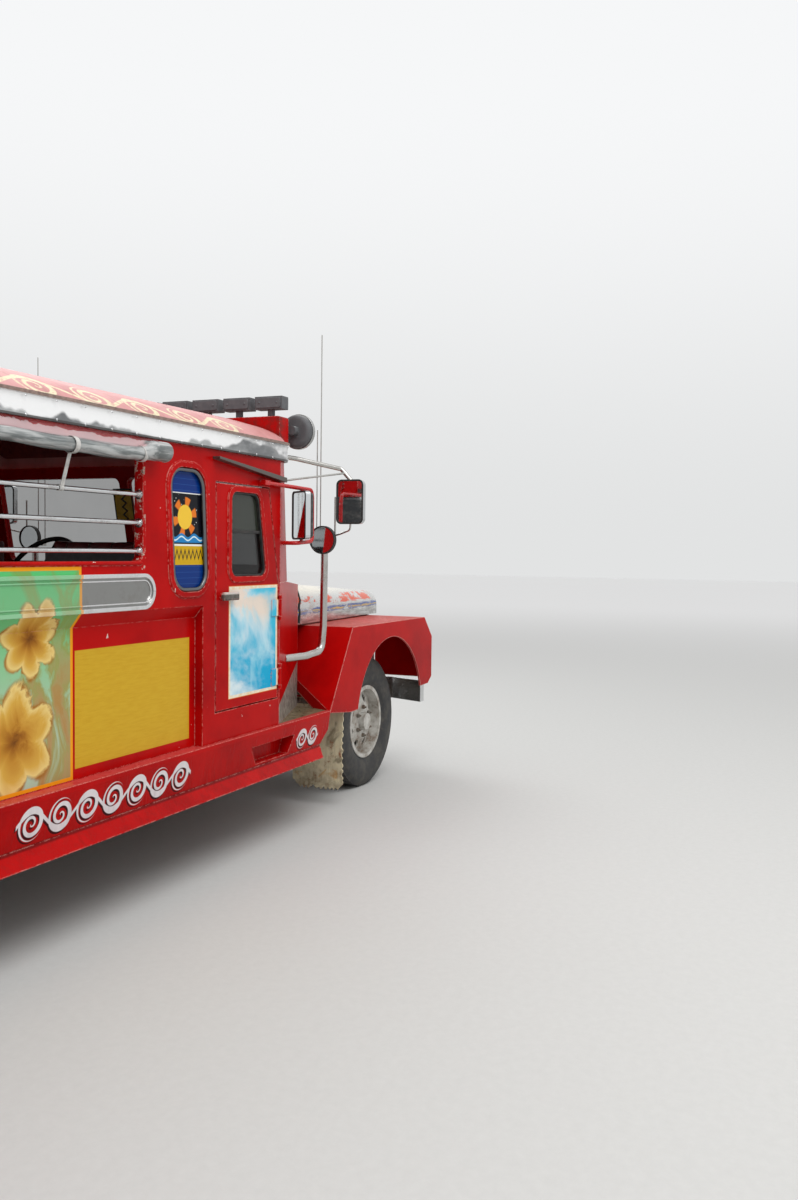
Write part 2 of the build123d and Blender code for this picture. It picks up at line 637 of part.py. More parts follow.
def rear_wall():
    wall = block((REAR_X, REAR_X + WALL), (-INNER_LOW, INNER_LOW), (RAIL_TOP, EAVES_Z))
    wall += block((REAR_X, REAR_X + WALL), (-INNER_TOP, INNER_TOP), (LEDGE_Z + 10, EAVES_Z))
    wall -= block((REAR_X - 1, REAR_X + WALL + 1), (-DOORWAY_HALF, DOORWAY_HALF), (RAIL_TOP - 1, EAVES_Z + 1))
    wall += block((REAR_X, REAR_X + WALL), (-DOORWAY_HALF, DOORWAY_HALF), (EAVES_Z - 60, EAVES_Z))
    wall += block((REAR_X, REAR_X + WALL), (-DOORWAY_HALF, DOORWAY_HALF), (RAIL_TOP, FLOOR_Z))
    window = outline(
        [(REAR_WINDOW_Y[0], SILL_Z), (REAR_WINDOW_Y[1], SILL_Z), (REAR_WINDOW_Y[1], WINDOW_TOP_Z - 20),
         (REAR_WINDOW_Y[0], WINDOW_TOP_Z - 20)], 40
    )
    hole = along_x(window, (REAR_X - 1, REAR_X + WALL + 1))
    return wall - hole - mirror(hole, about=Plane.XZ)


# Rear step: a deep plate bumper behind the doorway, on two arms from the rails.
STEP_Z = (400, 440)


def rear_step():
    plate = block((STEP_REAR_X, REAR_X), (-930, 930), STEP_Z)
    plate = fillet(plate.edges().filter_by(Axis.Z), 40)
    plate += block((STEP_REAR_X + 12, STEP_REAR_X + 30), (-900, 900), (STEP_Z[0] - 90, STEP_Z[0]))
    for side in (-1, 1):
        arm_y = (side * RAIL_Y - RAIL_WIDTH / 2, side * RAIL_Y + RAIL_WIDTH / 2)
        plate += block((REAR_X - 40, RAIL_X[0] + 70), arm_y, (STEP_Z[0], RAIL_LOW))
    return plate


# Roof: a crowned shell with rounded corners that drops towards the screen, on a vertical band over the walls.
ROOF_FRONT_X = 1325
ROOF_REAR_X = -3130
ROOF_CORNER = 150
ROOF_REAR_CORNER = 40
ROOF_WALL = 26
ROOF_DROP_X = 1050           # where the crown starts to fall towards the front
CROWN_EDGE = 220              # from the roof's side to where its crown bends down
CROWN_DROP = 112              # how far the crown has fallen there
SHOULDER_BEND = (78, 52)      # the bend's middle, in from the side and up from the band
NOSE_BEND = (90, 78)          # the front's middle, back from its edge and down from the crown
TAIL_BEND = (60, 70)          # the same at the rear
TAIL_RUN = 180


def roof_form(inset):
    """The roof as a solid, drawn in by the inset. Only the plan gives its upright sides."""
    past = 10
    half = WALL_HALF - inset + past
    low = EAVES_Z - inset
    shoulder = BAND_TOP_Z - inset - 2 * past
    crown_half = WALL_HALF - CROWN_EDGE
    crown_z = ROOF_TOP_Z - CROWN_DROP - inset
    bend = (WALL_HALF - SHOULDER_BEND[0] - inset / 2, BAND_TOP_Z + SHOULDER_BEND[1] - inset)
    crown = ThreePointArc((crown_half, crown_z), (0, ROOF_TOP_Z - inset), (-crown_half, crown_z))
    right = ThreePointArc((half, shoulder), bend, (crown_half, crown_z))
    left = ThreePointArc((-crown_half, crown_z), (-bend[0], bend[1]), (-half, shoulder))
    walls = Polyline((-half, shoulder), (-half, low - past), (half, low - past), (half, shoulder))
    section = along_x(make_face(right + crown + left + walls), (ROOF_REAR_X - past, ROOF_FRONT_X + past))
    front = ROOF_FRONT_X - inset + past
    rear = ROOF_REAR_X + inset - past
    top = ROOF_TOP_Z - inset + 2
    nose = (ROOF_FRONT_X - NOSE_BEND[0] - inset, ROOF_TOP_Z - NOSE_BEND[1] - inset)
    tail = (rear + TAIL_BEND[0] - past, ROOF_TOP_Z - TAIL_BEND[1] - inset)
    profile = [
        Line((rear, low - past), (front, low - past)),
        Line((front, low - past), (front, shoulder)),
        ThreePointArc((front, shoulder), nose, (ROOF_DROP_X, top)),
        Line((ROOF_DROP_X, top), (rear + TAIL_RUN, top)),
        ThreePointArc((rear + TAIL_RUN, top), tail, (rear, shoulder)),
        Line((rear, shoulder), (rear, low - past)),
    ]
    side_view = along_y(make_face(profile), (-half - past, half + past))
    return section & side_view & along_z(ring_plan(-inset), (low, ROOF_TOP_Z + past))


def roof():
    return roof_form(0) - roof_form(ROOF_WALL)


# Fascia: a bright band bent round the roof's edge above the windows, with a narrow gutter along its top.
FASCIA = 12
GUTTER = 9
GUTTER_HEIGHT = 13
FASCIA_Z = (EAVES_Z, BAND_TOP_Z)


def ring_plan(grow):
    front = ROOF_FRONT_X + grow
    rear = ROOF_REAR_X - grow
    half = WALL_HALF + grow
    plan = Pos((front + rear) / 2, 0) * Rectangle(front - rear, 2 * half)
    plan = fillet(plan.vertices().sort_by(Axis.X)[-2:], ROOF_CORNER + grow)
    return fillet(plan.vertices().sort_by(Axis.X)[:2], ROOF_REAR_CORNER + grow)


def roof_fascia():
    band = along_z(ring_plan(FASCIA) - ring_plan(0), FASCIA_Z)
    gutter = along_z(ring_plan(FASCIA + GUTTER) - ring_plan(0), (BAND_TOP_Z, BAND_TOP_Z + GUTTER_HEIGHT))
    return band + gutter


# Screen frame: a leaning frame with two panes and a middle post, with the corner posts that close the cab.
SCREEN_THICK = 40
SCREEN_PANE_Z = (1330, 1770)
SCREEN_POST_HALF = 25


def lean_x(z):
    """The screen frame's front face at a height."""
    return SCREEN_BASE_X - SCREEN_LEAN * (z - BELT_Z) / (EAVES_Z - BELT_Z)


def windshield_frame():
    side = [
        (lean_x(BELT_Z) - SCREEN_THICK, BELT_Z),
        (lean_x(BELT_Z), BELT_Z),
        (lean_x(EAVES_Z), EAVES_Z),
        (lean_x(EAVES_Z) - SCREEN_THICK, EAVES_Z),
    ]
    frame = along_y(outline(side), (-WALL_HALF, WALL_HALF))
    inner_rear = cowl_half(COWL_REAR_X) - WALL
    inner_front = cowl_half(SCREEN_BASE_X) - WALL
    between_posts = outline(
        [(COWL_REAR_X, -inner_rear), (SCREEN_BASE_X, -inner_front),
         (SCREEN_BASE_X, inner_front), (COWL_REAR_X, inner_rear)]
    )
    frame &= along_z(between_posts, (BELT_Z, EAVES_Z))
    pane = outline(
        [(SCREEN_POST_HALF, SCREEN_PANE_Z[0]), (SCREEN_HALF - 60, SCREEN_PANE_Z[0]),
         (SCREEN_HALF - 60, SCREEN_PANE_Z[1]), (SCREEN_POST_HALF, SCREEN_PANE_Z[1])], 35
    )
    hole = along_x(pane, (SCREEN_BASE_X - 300, SCREEN_BASE_X + 100))
    frame = frame - hole - mirror(hole, about=Plane.XZ)
    post = corner_post()
    return frame + post + mirror(post, about=Plane.XZ)


def corner_post():
    """The panel on the left between the door post and the screen."""
    rear_x = COWL_REAR_X
    plan = outline(
        [(rear_x, INNER_TOP), (rear_x, WALL_HALF), (SCREEN_BASE_X, cowl_half(SCREEN_BASE_X)),
         (SCREEN_BASE_X, cowl_half(SCREEN_BASE_X) - WALL)]
    )
    post = along_z(plan, (BELT_Z, EAVES_Z))
    front = outline(
        [(lean_x(BELT_Z), BELT_Z), (SCREEN_BASE_X + 50, BELT_Z),
         (SCREEN_BASE_X + 50, EAVES_Z), (lean_x(EAVES_Z), EAVES_Z)]
    )
    return post - along_y(front, (0, WALL_HALF + 10))


GLASS = 6


def fixed_glass():
    """The two windscreen panes and the port window in each side, each set in its frame."""
    side = [
        (lean_x(BELT_Z) - 22, BELT_Z),
        (lean_x(BELT_Z) - 22 + GLASS, BELT_Z),
        (lean_x(EAVES_Z) - 22 + GLASS, EAVES_Z),
        (lean_x(EAVES_Z) - 22, EAVES_Z),
    ]
    sheet = along_y(outline(side), (0, SCREEN_HALF))
    pane = outline(
        [(SCREEN_POST_HALF, SCREEN_PANE_Z[0]), (SCREEN_HALF - 60, SCREEN_PANE_Z[0]),
         (SCREEN_HALF - 60, SCREEN_PANE_Z[1]), (SCREEN_POST_HALF, SCREEN_PANE_Z[1])], 35
    )
    screen = sheet & along_x(pane, (SCREEN_BASE_X - 300, SCREEN_BASE_X + 100))
    port = along_y(port_outline(), (WALL_HALF - 18, WALL_HALF - 12))
    return both(Compound(children=list(screen.solids()) + list(port.solids())))


# Cowl: the bulkhead, the slanting sides beside the driver's feet and the top behind the hood.
COWL_TOP_FRONT_Z = 1222
TUNNEL_HALF = 600            # the bulkhead stops above the rails between these
HOOD_HINGE_X = COWL_FRONT_X + 18
HOOD_HINGE_Y = 380
HOOD_HINGE_HALF = 30
HOOD_HINGE_Z = 1256


def cowl():
    rear_x = COWL_REAR_X
    outer = outline(
        [(rear_x, -WALL_HALF), (COWL_FRONT_X, -COWL_FRONT_HALF),
         (COWL_FRONT_X, COWL_FRONT_HALF), (rear_x, WALL_HALF)]
    )
    inner_front = COWL_FRONT_X - COWL_THICK
    inner = outline(
        [(rear_x - 1, -cowl_inner_half(rear_x - 1)), (inner_front, -cowl_inner_half(inner_front)),
         (inner_front, cowl_inner_half(inner_front)), (rear_x - 1, cowl_inner_half(rear_x - 1))]
    )
    shell = along_z(outer, (STEP_WELL_Z, BELT_Z)) - along_z(inner, (STEP_WELL_Z - 1, BELT_Z + 1))
    lid_rear_x = SCREEN_BASE_X - SCREEN_THICK
    top = outline(
        [(lid_rear_x, BELT_Z), (COWL_FRONT_X, COWL_TOP_FRONT_Z),
         (COWL_FRONT_X, COWL_TOP_FRONT_Z - 30), (lid_rear_x, BELT_Z - 30)]
    )
    lid = along_y(top, (-WALL_HALF, WALL_HALF)) & along_z(outer, (STEP_WELL_Z, BELT_Z))
    above = outline(
        [(lid_rear_x, BELT_Z), (COWL_FRONT_X + 5, COWL_TOP_FRONT_Z),
         (COWL_FRONT_X + 5, BELT_Z + 5), (lid_rear_x, BELT_Z + 5)]
    )
    shell = shell + lid - along_y(above, (-WALL_HALF - 5, WALL_HALF + 5))
    toe_half = cowl_inner_half(inner_front) + 1
    toe = block((FLOOR_FRONT_X, inner_front + 1), (-toe_half, toe_half), (RAIL_TOP, FLOOR_Z))
    shell -= block((inner_front - 5, COWL_FRONT_X + 1), (-TUNNEL_HALF, TUNNEL_HALF), (STEP_WELL_Z - 1, RAIL_TOP))
    for side in (-1, 1):
        for end in (-1, 1):
            middle = side * HOOD_HINGE_Y + end * (HOOD_HINGE_HALF + HINGE_GAP + 10)
            y = (middle - 10, middle + 10)
            shell += rod_y(9, y, HOOD_HINGE_X, HOOD_HINGE_Z)
            shell += block((COWL_FRONT_X - 30, HOOD_HINGE_X), y, (HOOD_HINGE_Z - 9, HOOD_HINGE_Z))
            shell += block((COWL_FRONT_X - 30, COWL_FRONT_X), y, (COWL_TOP_FRONT_Z - 5, HOOD_HINGE_Z))
    return shell + toe


# Dashboard: a shallow box across the cab below the screen, with a raised hood over the instruments.
DASH_Z = (1060, 1205)
COLUMN_Y = 400
COLUMN_TILT = 38             # degrees that the column rises from level, towards the driver
COLUMN_TOP = 110             # from the middle of the steering wheel down to the column's housing
COLUMN_R = 26
SHAFT_PIN_R = 12
WHEEL_CENTRE = (1085, COLUMN_Y, 1290)


def column_place():
    return Pos(*WHEEL_CENTRE) * Rot(0, COLUMN_TILT - 90, 0)


def dashboard():
    x = (SCREEN_BASE_X - 95, SCREEN_BASE_X + 60)
    rear_half = cowl_inner_half(x[0])
    front_half = cowl_inner_half(x[1])
    plan = outline([(x[0], -rear_half), (x[1], -front_half), (x[1], front_half), (x[0], rear_half)])
    dash = along_z(plan, DASH_Z)
    dash = chamfer(dash.edges().filter_by(Axis.Y).group_by(Axis.X)[0], 22)
    dash += column_place() * Pos(0, 0, -COLUMN_TOP - 110) * Cylinder(COLUMN_R, 220)
    return dash - column_place() * Pos(0, 0, -COLUMN_TOP - 110) * Cylinder(SHAFT_PIN_R + PIN_GAP, 240)


# Fenders: flat-topped boxes of bent sheet, with a slanting rear face and a round wheel arch.
FENDER_FRONT_X = GRILLE_X + 25
FENDER_INNER_Y = 600
FENDER_ARCH_R = 475
FENDER_ARCH_X = FRONT_AXLE_X + 20
FENDER_HALF = SKIRT_HALF
FENDER_REAR_X = COWL_FRONT_X - 93
FENDER_LOW_Z = 524
APRON_LOW_Z = 835
FLAP_X = FRONT_AXLE_X - 560
FLAP_HALF = 5
FLAP_Y = (655, 968)
FLAP_HANGER_Z = (530, 600)


def fender():
    points = [
        (FENDER_REAR_X, 552),
        (COWL_FRONT_X + 177, FENDER_TOP_Z),
        (FENDER_FRONT_X - 130, FENDER_TOP_Z),
        (FENDER_FRONT_X, FENDER_TOP_Z - 130),
        (FENDER_FRONT_X, 600),
        (FENDER_FRONT_X - 60, 560),
        (COWL_FRONT_X + 160, FENDER_LOW_Z),
    ]
    outer = along_y(outline(points), (FENDER_INNER_Y, FENDER_HALF))
    inner_points = [
        (FENDER_REAR_X + 16, FENDER_LOW_Z - 24),
        (COWL_FRONT_X + 177 + 8, FENDER_TOP_Z - SHEET),
        (FENDER_FRONT_X - 135, FENDER_TOP_Z - SHEET),
        (FENDER_FRONT_X - SHEET, FENDER_TOP_Z - 135),
        (FENDER_FRONT_X - SHEET, FENDER_LOW_Z - 24),
    ]
    inner = along_y(outline(inner_points), (FENDER_INNER_Y - 1, FENDER_HALF - SHEET))
    shell = outer - inner
    shell -= rod_y(FENDER_ARCH_R, (0, FENDER_HALF + 10), FENDER_ARCH_X, AXLE_Z + 40)
    apron_y = (FENDER_INNER_Y, FENDER_INNER_Y + SHEET)
    shell += block((COWL_FRONT_X, FENDER_FRONT_X), apron_y, (APRON_LOW_Z, FENDER_TOP_Z - SHEET))
    shell += block((FLAP_X + FLAP_HALF, FLAP_X + FLAP_HALF + SHEET), (FLAP_Y[0], FENDER_HALF - 1), FLAP_HANGER_Z)
    behind = outline(
        [(COWL_FRONT_X - 200, 0), (COWL_FRONT_X, 0), (COWL_FRONT_X, COWL_FRONT_HALF),
         (FENDER_REAR_X, FENDER_HALF + 5), (COWL_FRONT_X - 200, FENDER_HALF + 5)]
    )
    return shell - along_z(behind, (400, FENDER_TOP_Z + 10))


# Grille: a plate with upright slots under the front of the hood, and the radiator as a slab behind it.
GRILLE_HALF = 560
GRILLE_Z = (600, 1112)
GRILLE_THICK = 24
SLOTS = 11
SLOT_WIDTH = 34
SLOT_PITCH = 62
SLOT_Z = (680, 1040)
HEADLAMP_Y = 458
HEADLAMP_Z = 900
HEADLAMP_R = 92
BEZEL = 20
BEZEL_DEPTH = 22


def front_grille():
    top = GRILLE_Z[1]
    low = GRILLE_Z[0]
    x = (GRILLE_X - GRILLE_THICK, GRILLE_X)
    plate = outline([(-GRILLE_HALF, low), (GRILLE_HALF, low), (GRILLE_HALF, top), (-GRILLE_HALF, top)], 60)
    grille = along_x(plate, x)
    grille += block(x, (-FENDER_INNER_Y, FENDER_INNER_Y), (low, FENDER_TOP_Z - SHEET))
    for slot in range(SLOTS):
        y = (slot - (SLOTS - 1) / 2) * SLOT_PITCH
        hole = Pos(y, (SLOT_Z[0] + SLOT_Z[1]) / 2) * SlotOverall(SLOT_Z[1] - SLOT_Z[0], SLOT_WIDTH, rotation=90)
        grille -= along_x(hole, (GRILLE_X - GRILLE_THICK - 1, GRILLE_X + 1))
    bezel = rod_x(HEADLAMP_R + BEZEL, (GRILLE_X, GRILLE_X + BEZEL_DEPTH), HEADLAMP_Y, HEADLAMP_Z)
    bezel = chamfer(bezel.edges().group_by(Axis.X)[-1], 6)
    bezel -= rod_x(HEADLAMP_R + SEAT_GAP, (GRILLE_X, GRILLE_X + BEZEL_DEPTH + 1), HEADLAMP_Y, HEADLAMP_Z)
    grille += bezel + mirror(bezel, about=Plane.XZ)
    core = block((GRILLE_X - 90, GRILLE_X - GRILLE_THICK), (-385, 385), (RAIL_TOP, SLOT_Z[1] + 20))
    core -= block((x[0] - 16, x[0]), (-355, 355), (SLOT_Z[0] - 10, SLOT_Z[1] + 5))
    return grille + core


# Headlamps: a round lamp on each side of the slots, set in the raised bezel of the grille plate.
def headlamps():
    lamp = rod_x(HEADLAMP_R, (GRILLE_X, GRILLE_X + 34), HEADLAMP_Y, HEADLAMP_Z)
    lamp = fillet(lamp.edges().group_by(Axis.X)[-1], 14)
    return both(lamp)


# Front bumper: a bent bar on two arms from the rails.
BUMPER_Z = (430, 570)
TOW_EYE = (NOSE_X - 50, RAIL_Y, 385)
TOW_EYE_R = 16
TOW_EYE_PLATE = 34           # half height and half width of the eye's plate
TOW_EYE_HALF = 10


def front_bumper():
    half = 940
    points = [
        (GRILLE_X + 85, 0), (GRILLE_X + 85, 700), (GRILLE_X - 15, half),
        (GRILLE_X + 45, half), (NOSE_X, 700), (NOSE_X, 0),
    ]
    bar = along_z(outline(points), BUMPER_Z)
    bar += mirror(bar, about=Plane.XZ)
    for side in (-1, 1):
        arm_y = (side * RAIL_Y - 25, side * RAIL_Y + 25)
        bar += block((RAIL_X[1], GRILLE_X + 90), arm_y, (RAIL_LOW, BUMPER_Z[1]))
        x, y, z = TOW_EYE
        plate_y = (side * y - TOW_EYE_HALF, side * y + TOW_EYE_HALF)
        bar += block((x - TOW_EYE_PLATE, x + TOW_EYE_PLATE), plate_y, (z - TOW_EYE_PLATE, BUMPER_Z[0]))
        bar -= rod_y(TOW_EYE_R, plate_y, x, z)
    return bar


# Hood: one bright piece that tapers to the nose, open below and in front, hinged at the cowl.
HOOD_REAR_X = COWL_FRONT_X + DOOR_GAP
HOOD_FRONT_X = GRILLE_X + 15
HOOD_REAR_HALF = 722
HOOD_FRONT_HALF = 606
HOOD_REAR_TOP = 1240
HOOD_FRONT_TOP = 1160
HOOD_LOW_Z = FENDER_TOP_Z + 7
HOOD_SHOULDER = 90
HOOD_THICK = 16


def hood_section(x, half, top, low):
    """An upright section of the hood: straight sides, round shoulders and a slightly crowned top."""
    shoulder = HOOD_SHOULDER
    side_top = top - shoulder - 14
    bend = shoulder * 0.29
    lines = [
        Line((-half, low), (half, low)),
        Line((half, low), (half, side_top)),
        ThreePointArc((half, side_top), (half - bend, top - 14 - bend), (half - shoulder, top - 14)),
        ThreePointArc((half - shoulder, top - 14), (0, top), (-half + shoulder, top - 14)),
        ThreePointArc((-half + shoulder, top - 14), (-half + bend, top - 14 - bend), (-half, side_top)),
        Line((-half, side_top), (-half, low)),
    ]
    return Plane(origin=(x, 0, 0), x_dir=(0, 1, 0), z_dir=(1, 0, 0)) * make_face(lines)


def hood():
    outer = loft(
        [hood_section(HOOD_REAR_X, HOOD_REAR_HALF, HOOD_REAR_TOP, HOOD_LOW_Z),
         hood_section(HOOD_FRONT_X, HOOD_FRONT_HALF, HOOD_FRONT_TOP, HOOD_LOW_Z)], ruled=True
    )
    low = HOOD_LOW_Z - 20
    thick = HOOD_THICK
    inner = loft(
        [hood_section(HOOD_REAR_X - 5, HOOD_REAR_HALF - thick, HOOD_REAR_TOP - thick, low),
         hood_section(HOOD_FRONT_X + 5, HOOD_FRONT_HALF - thick, HOOD_FRONT_TOP - thick, low)], ruled=True
    )
    shell = outer - inner
    for side in (-1, 1):
        hinge_y = (side * HOOD_HINGE_Y - HOOD_HINGE_HALF, side * HOOD_HINGE_Y + HOOD_HINGE_HALF)
        shell += rod_y(9, hinge_y, HOOD_HINGE_X, HOOD_HINGE_Z)
        shell += block((HOOD_HINGE_X - 8, HOOD_HINGE_X + 40), hinge_y, (HOOD_REAR_TOP - 14, HOOD_HINGE_Z))
    return shell


# Doors: one on each side of the cab, with a slanting window, an outside handle and two hinges on its front edge.
DOOR_WINDOW = [
    (DOOR_REAR_X + 114, BELT_Z + 35),
    (DOOR_FRONT_X - 115, BELT_Z + 35),
    (DOOR_FRONT_X - 182, DOOR_TOP_Z - 30),
    (DOOR_REAR_X + 114, DOOR_TOP_Z - 30),
]
DOOR_WINDOW_R = 40
DOOR_HINGE_X = DOOR_FRONT_X + 8
DOOR_HINGE_Y = WALL_HALF + 9
HINGE_R = 8
HINGE_PLACES = (800, 1130)
HINGE_HALF = 40
HANDLE_X = (DOOR_REAR_X + 20, DOOR_REAR_X + 138)
HANDLE_Z = 1200
HANDLE_HALF = 18
DOOR_FRAME = 26               # width of the raised rim round the door's window
DOOR_FRAME_RISE = 7


def door():
    panel = along_y(outline(DOOR_SHAPE), (INNER_TOP, WALL_HALF))
    rim = offset(outline(DOOR_WINDOW, DOOR_WINDOW_R), DOOR_FRAME)
    panel += along_y(rim, (WALL_HALF, WALL_HALF + DOOR_FRAME_RISE))
    panel -= along_y(outline(DOOR_WINDOW, DOOR_WINDOW_R), (INNER_TOP - 1, WALL_HALF + DOOR_FRAME_RISE + 1))
    for middle in HINGE_PLACES:
        z = (middle - HINGE_HALF, middle + HINGE_HALF)
        panel += rod_z(HINGE_R, z, DOOR_HINGE_X, DOOR_HINGE_Y)
        panel += block((DOOR_FRONT_X - 60, DOOR_HINGE_X), (WALL_HALF, WALL_HALF + 5), z)
    handle = block(HANDLE_X, (WALL_HALF + 20, WALL_HALF + 34), (HANDLE_Z - HANDLE_HALF, HANDLE_Z + HANDLE_HALF))
    panel += chamfer(handle.edges().group_by(Axis.Y)[-1], 5)
    for x in (HANDLE_X[0] + 22, HANDLE_X[1] - 22):
        panel += rod_y(12, (WALL_HALF, WALL_HALF + 24), x, HANDLE_Z)
    return panel


def door_glass():
    return along_y(outline(DOOR_WINDOW, DOOR_WINDOW_R), (WALL_HALF - 18, WALL_HALF - 12))


def door_visors():
    """A bright sloping rain guard above each door."""
    shape = outline([(590, 1800), (590, 1790), (1170, 1726), (1170, 1748)])
    return both(along_y(shape, (WALL_HALF, WALL_HALF + 36)))


# Steering wheel: a thin rim on three spokes, on a sloping shaft that ends in the dashboard's column.
WHEEL_RIM_R = 205
WHEEL_TUBE_R = 13


def steering_wheel():
    wheel = Torus(WHEEL_RIM_R, WHEEL_TUBE_R)
    wheel += Pos(0, 0, -18) * Cylinder(36, 40)
    for spoke in range(3):
        wheel += Rot(0, 0, 120 * spoke) * Pos(WHEEL_RIM_R / 2, 0, -6) * Box(WHEEL_RIM_R - 8, 26, 8)
    wheel += Pos(0, 0, -140) * Cylinder(SHAFT_PIN_R, 240)
    return column_place() * wheel


# Sign board: a red box across the roof's front edge, with ten square lamps on top and a round lamp at each end.
BOARD_HALF = 900
BOARD_X = (1296, 1384)
BOARD_Z = (BAND_TOP_Z + GUTTER_HEIGHT, 2062)
LAMP_COUNT = 10
LAMP_PITCH = 184
LAMP_SIZE = (62, 153, 63)
LAMP_Z = 2130
ROUND_LAMP = (1510, 890, 2006)
ROUND_LAMP_R = 85


def sign_board():
    board = block(BOARD_X, (-BOARD_HALF, BOARD_HALF), BOARD_Z)
    board = fillet(board.edges().filter_by(Axis.X), 10)
    return board - roof_form(0)


def roof_lamps():
    lamps = []
    middle = (BOARD_X[0] + BOARD_X[1]) / 2
    for lamp in range(LAMP_COUNT):
        y = (lamp - (LAMP_COUNT - 1) / 2) * LAMP_PITCH
        z = LAMP_Z - LAMP_SIZE[2] / 2
        shell = Pos(middle, y, LAMP_Z) * Box(*LAMP_SIZE)
        shell += block((middle - 12, middle + 12), (y - 14, y + 14), (BOARD_Z[1], z + 5))
        lamps.append(shell)
    x, y, z = ROUND_LAMP
    for side in (-1, 1):
        lamp = rod_x(ROUND_LAMP_R, (x - 45, x + 5), side * y, z)
        lamp = fillet(lamp.edges().group_by(Axis.X)[0], 22)
        lamp += rod_x(24, (x - 80, x - 40), side * y, z)
        lamp += block((BOARD_X[1], x - 60), sorted((side * (y - 55), side * (y - 20))), (z - 18, z - 6))
        lamps.append(lamp)
    return Compound(children=[solid for lamp in lamps for solid in lamp.solids()])


# Window bars: three bright rails across each opening of the long window, set into its posts.
BAR_R = 9
BAR_HEIGHTS = (1393, 1502, 1611)


def window_bars():
    bars = []
    y = (INNER_TOP + WALL_HALF) / 2
    for z in BAR_HEIGHTS:
        for x in ((WINDOW_X[0], WINDOW_POST_X[0]), (WINDOW_POST_X[1], WINDOW_X[1])):
            bars += list(rod_x(BAR_R, x, y, z).solids())
    return both(Compound(children=bars))


# Rain curtains: clear sheet rolled up under the eaves outside each window, soft.
CURTAIN_R = 45
CURTAIN_X = (-2960, 185)
CURTAIN_Z = 1776


def rain_curtains():
    y = WALL_HALF + CURTAIN_R + SEAT_GAP
    return both(rod_x(CURTAIN_R, CURTAIN_X, y, CURTAIN_Z))


# Mirror arms: bright tubes from the cowl, the door post and the roof's corner to the mirrors, and the aerials.
TUBE_R = 19
THIN_TUBE_R = 10
ROD_R = 5
AERIAL_R = 3
FAR_MIRROR_X = 1610
FAR_MIRROR_Y = (1065, 1215)
FAR_MIRROR_Z = (1542, 1767)
ROUND_MIRROR = (1660, 973, 1460)
ROUND_MIRROR_R = 70
MIRROR_GLASS = 22            # depth of the round mirror's shell
PILLAR_MIRROR = (1325, 1010)
PILLAR_MIRROR_Z = (1458, 1694)
PILLAR_MIRROR_SIZE = (26, 150)
PILLAR_MIRROR_TURN = 36      # degrees that it looks inwards, to the driver
LOOP = [  # the tube that holds the pillar mirror, from its foot over the door round to the post
    (985, 1010, 1712),
    (1425, 1010, 1706),
    (1436, 1010, 1668),
    (1437, 1010, 1450),
    (1285, 1010, 1440),
    (1262, 925, 1440),
]
LOOP_FOOT = 22               # half height and half width of the plate on the wall
AERIAL_Y = 940
AERIAL_TOP = 2520
SHORT_AERIAL = (1680, 908)
SHORT_AERIAL_TOP = 2034


def body_plan():
    """The body's outline on the left from the door to the cowl's front, seen from above."""
    return outline(
        [(DOOR_REAR_X, 0), (COWL_FRONT_X + 35, 0), (COWL_FRONT_X + 35, cowl_half(COWL_FRONT_X + 35)),
         (COWL_REAR_X, WALL_HALF), (DOOR_REAR_X, WALL_HALF)]
    )


def mirror_arms():
    x, y, z = ROUND_MIRROR
    foot = (1380, cowl_half(1380) - 10, 860)
    rise = [(x - 10, 956, 880), (x, 962, 1010), (x, y - 7, z + 20)]
    arm = bent_tube([foot, (1500, 948, 866), *rise], 55, TUBE_R)
    arm += rod_z(AERIAL_R, (z - 40, AERIAL_TOP), x, AERIAL_Y)
    arm += block((x - 7, x + 7), (AERIAL_Y - 4, y - 7), (z - 45, z - 30))
    short_x, short_y = SHORT_AERIAL
    arm += rod_z(AERIAL_R, (z - 40, SHORT_AERIAL_TOP), short_x, short_y)
    arm += block((x - 7, short_x + 5), (short_y - 5, AERIAL_Y + 4), (z - 45, z - 30))
    far_x = FAR_MIRROR_X
    link = [(x + 4, y, z + 12), (x - 5, y + 85, z + 32), (far_x, 1136, z + 52), (far_x, 1140, z + 95)]
    arm += bent_tube(link, 18, ROD_R) - far_mirror()
    arm += rod_z(ROD_R, (z + 26, z + 223), x - 2, y + 54)
    loop = bent_tube(LOOP, 25, THIN_TUBE_R)
    x, y, z = LOOP[0]
    loop += block((x - LOOP_FOOT, x + LOOP_FOOT), (WALL_HALF, y + THIN_TUBE_R), (z - 10, z + 12))
    x, y = PILLAR_MIRROR
    loop += rod_z(8, (PILLAR_MIRROR_Z[1], LOOP[1][2]), x, y)
    loop += rod_z(8, (LOOP[4][2], PILLAR_MIRROR_Z[0]), x, y)
    held = arm + loop - along_z(body_plan(), (STEP_WELL_Z, EAVES_Z))
    drop = [(far_x, 1085, 1822), (far_x, 1140, FAR_MIRROR_Z[1] - 5)]
    top = bent_tube([(1280, 880, 1868), (1420, 925, 1862), *drop], 25, 12)
    top += bent_tube([(1240, 926, 1737), (1340, 975, 1755), (far_x, 1108, 1801)], 40, ROD_R)
    top -= along_z(ring_plan(FASCIA), (EAVES_Z, BAND_TOP_Z))
    top -= along_z(body_plan(), (STEP_WELL_Z, EAVES_Z))
    top -= far_mirror()
    return both(Compound(children=list(held.solids()) + list(top.solids())))


def far_mirror():
    far = block((FAR_MIRROR_X - 14, FAR_MIRROR_X + 14), FAR_MIRROR_Y, FAR_MIRROR_Z)
    return fillet(far.edges().filter_by(Axis.X), 28)


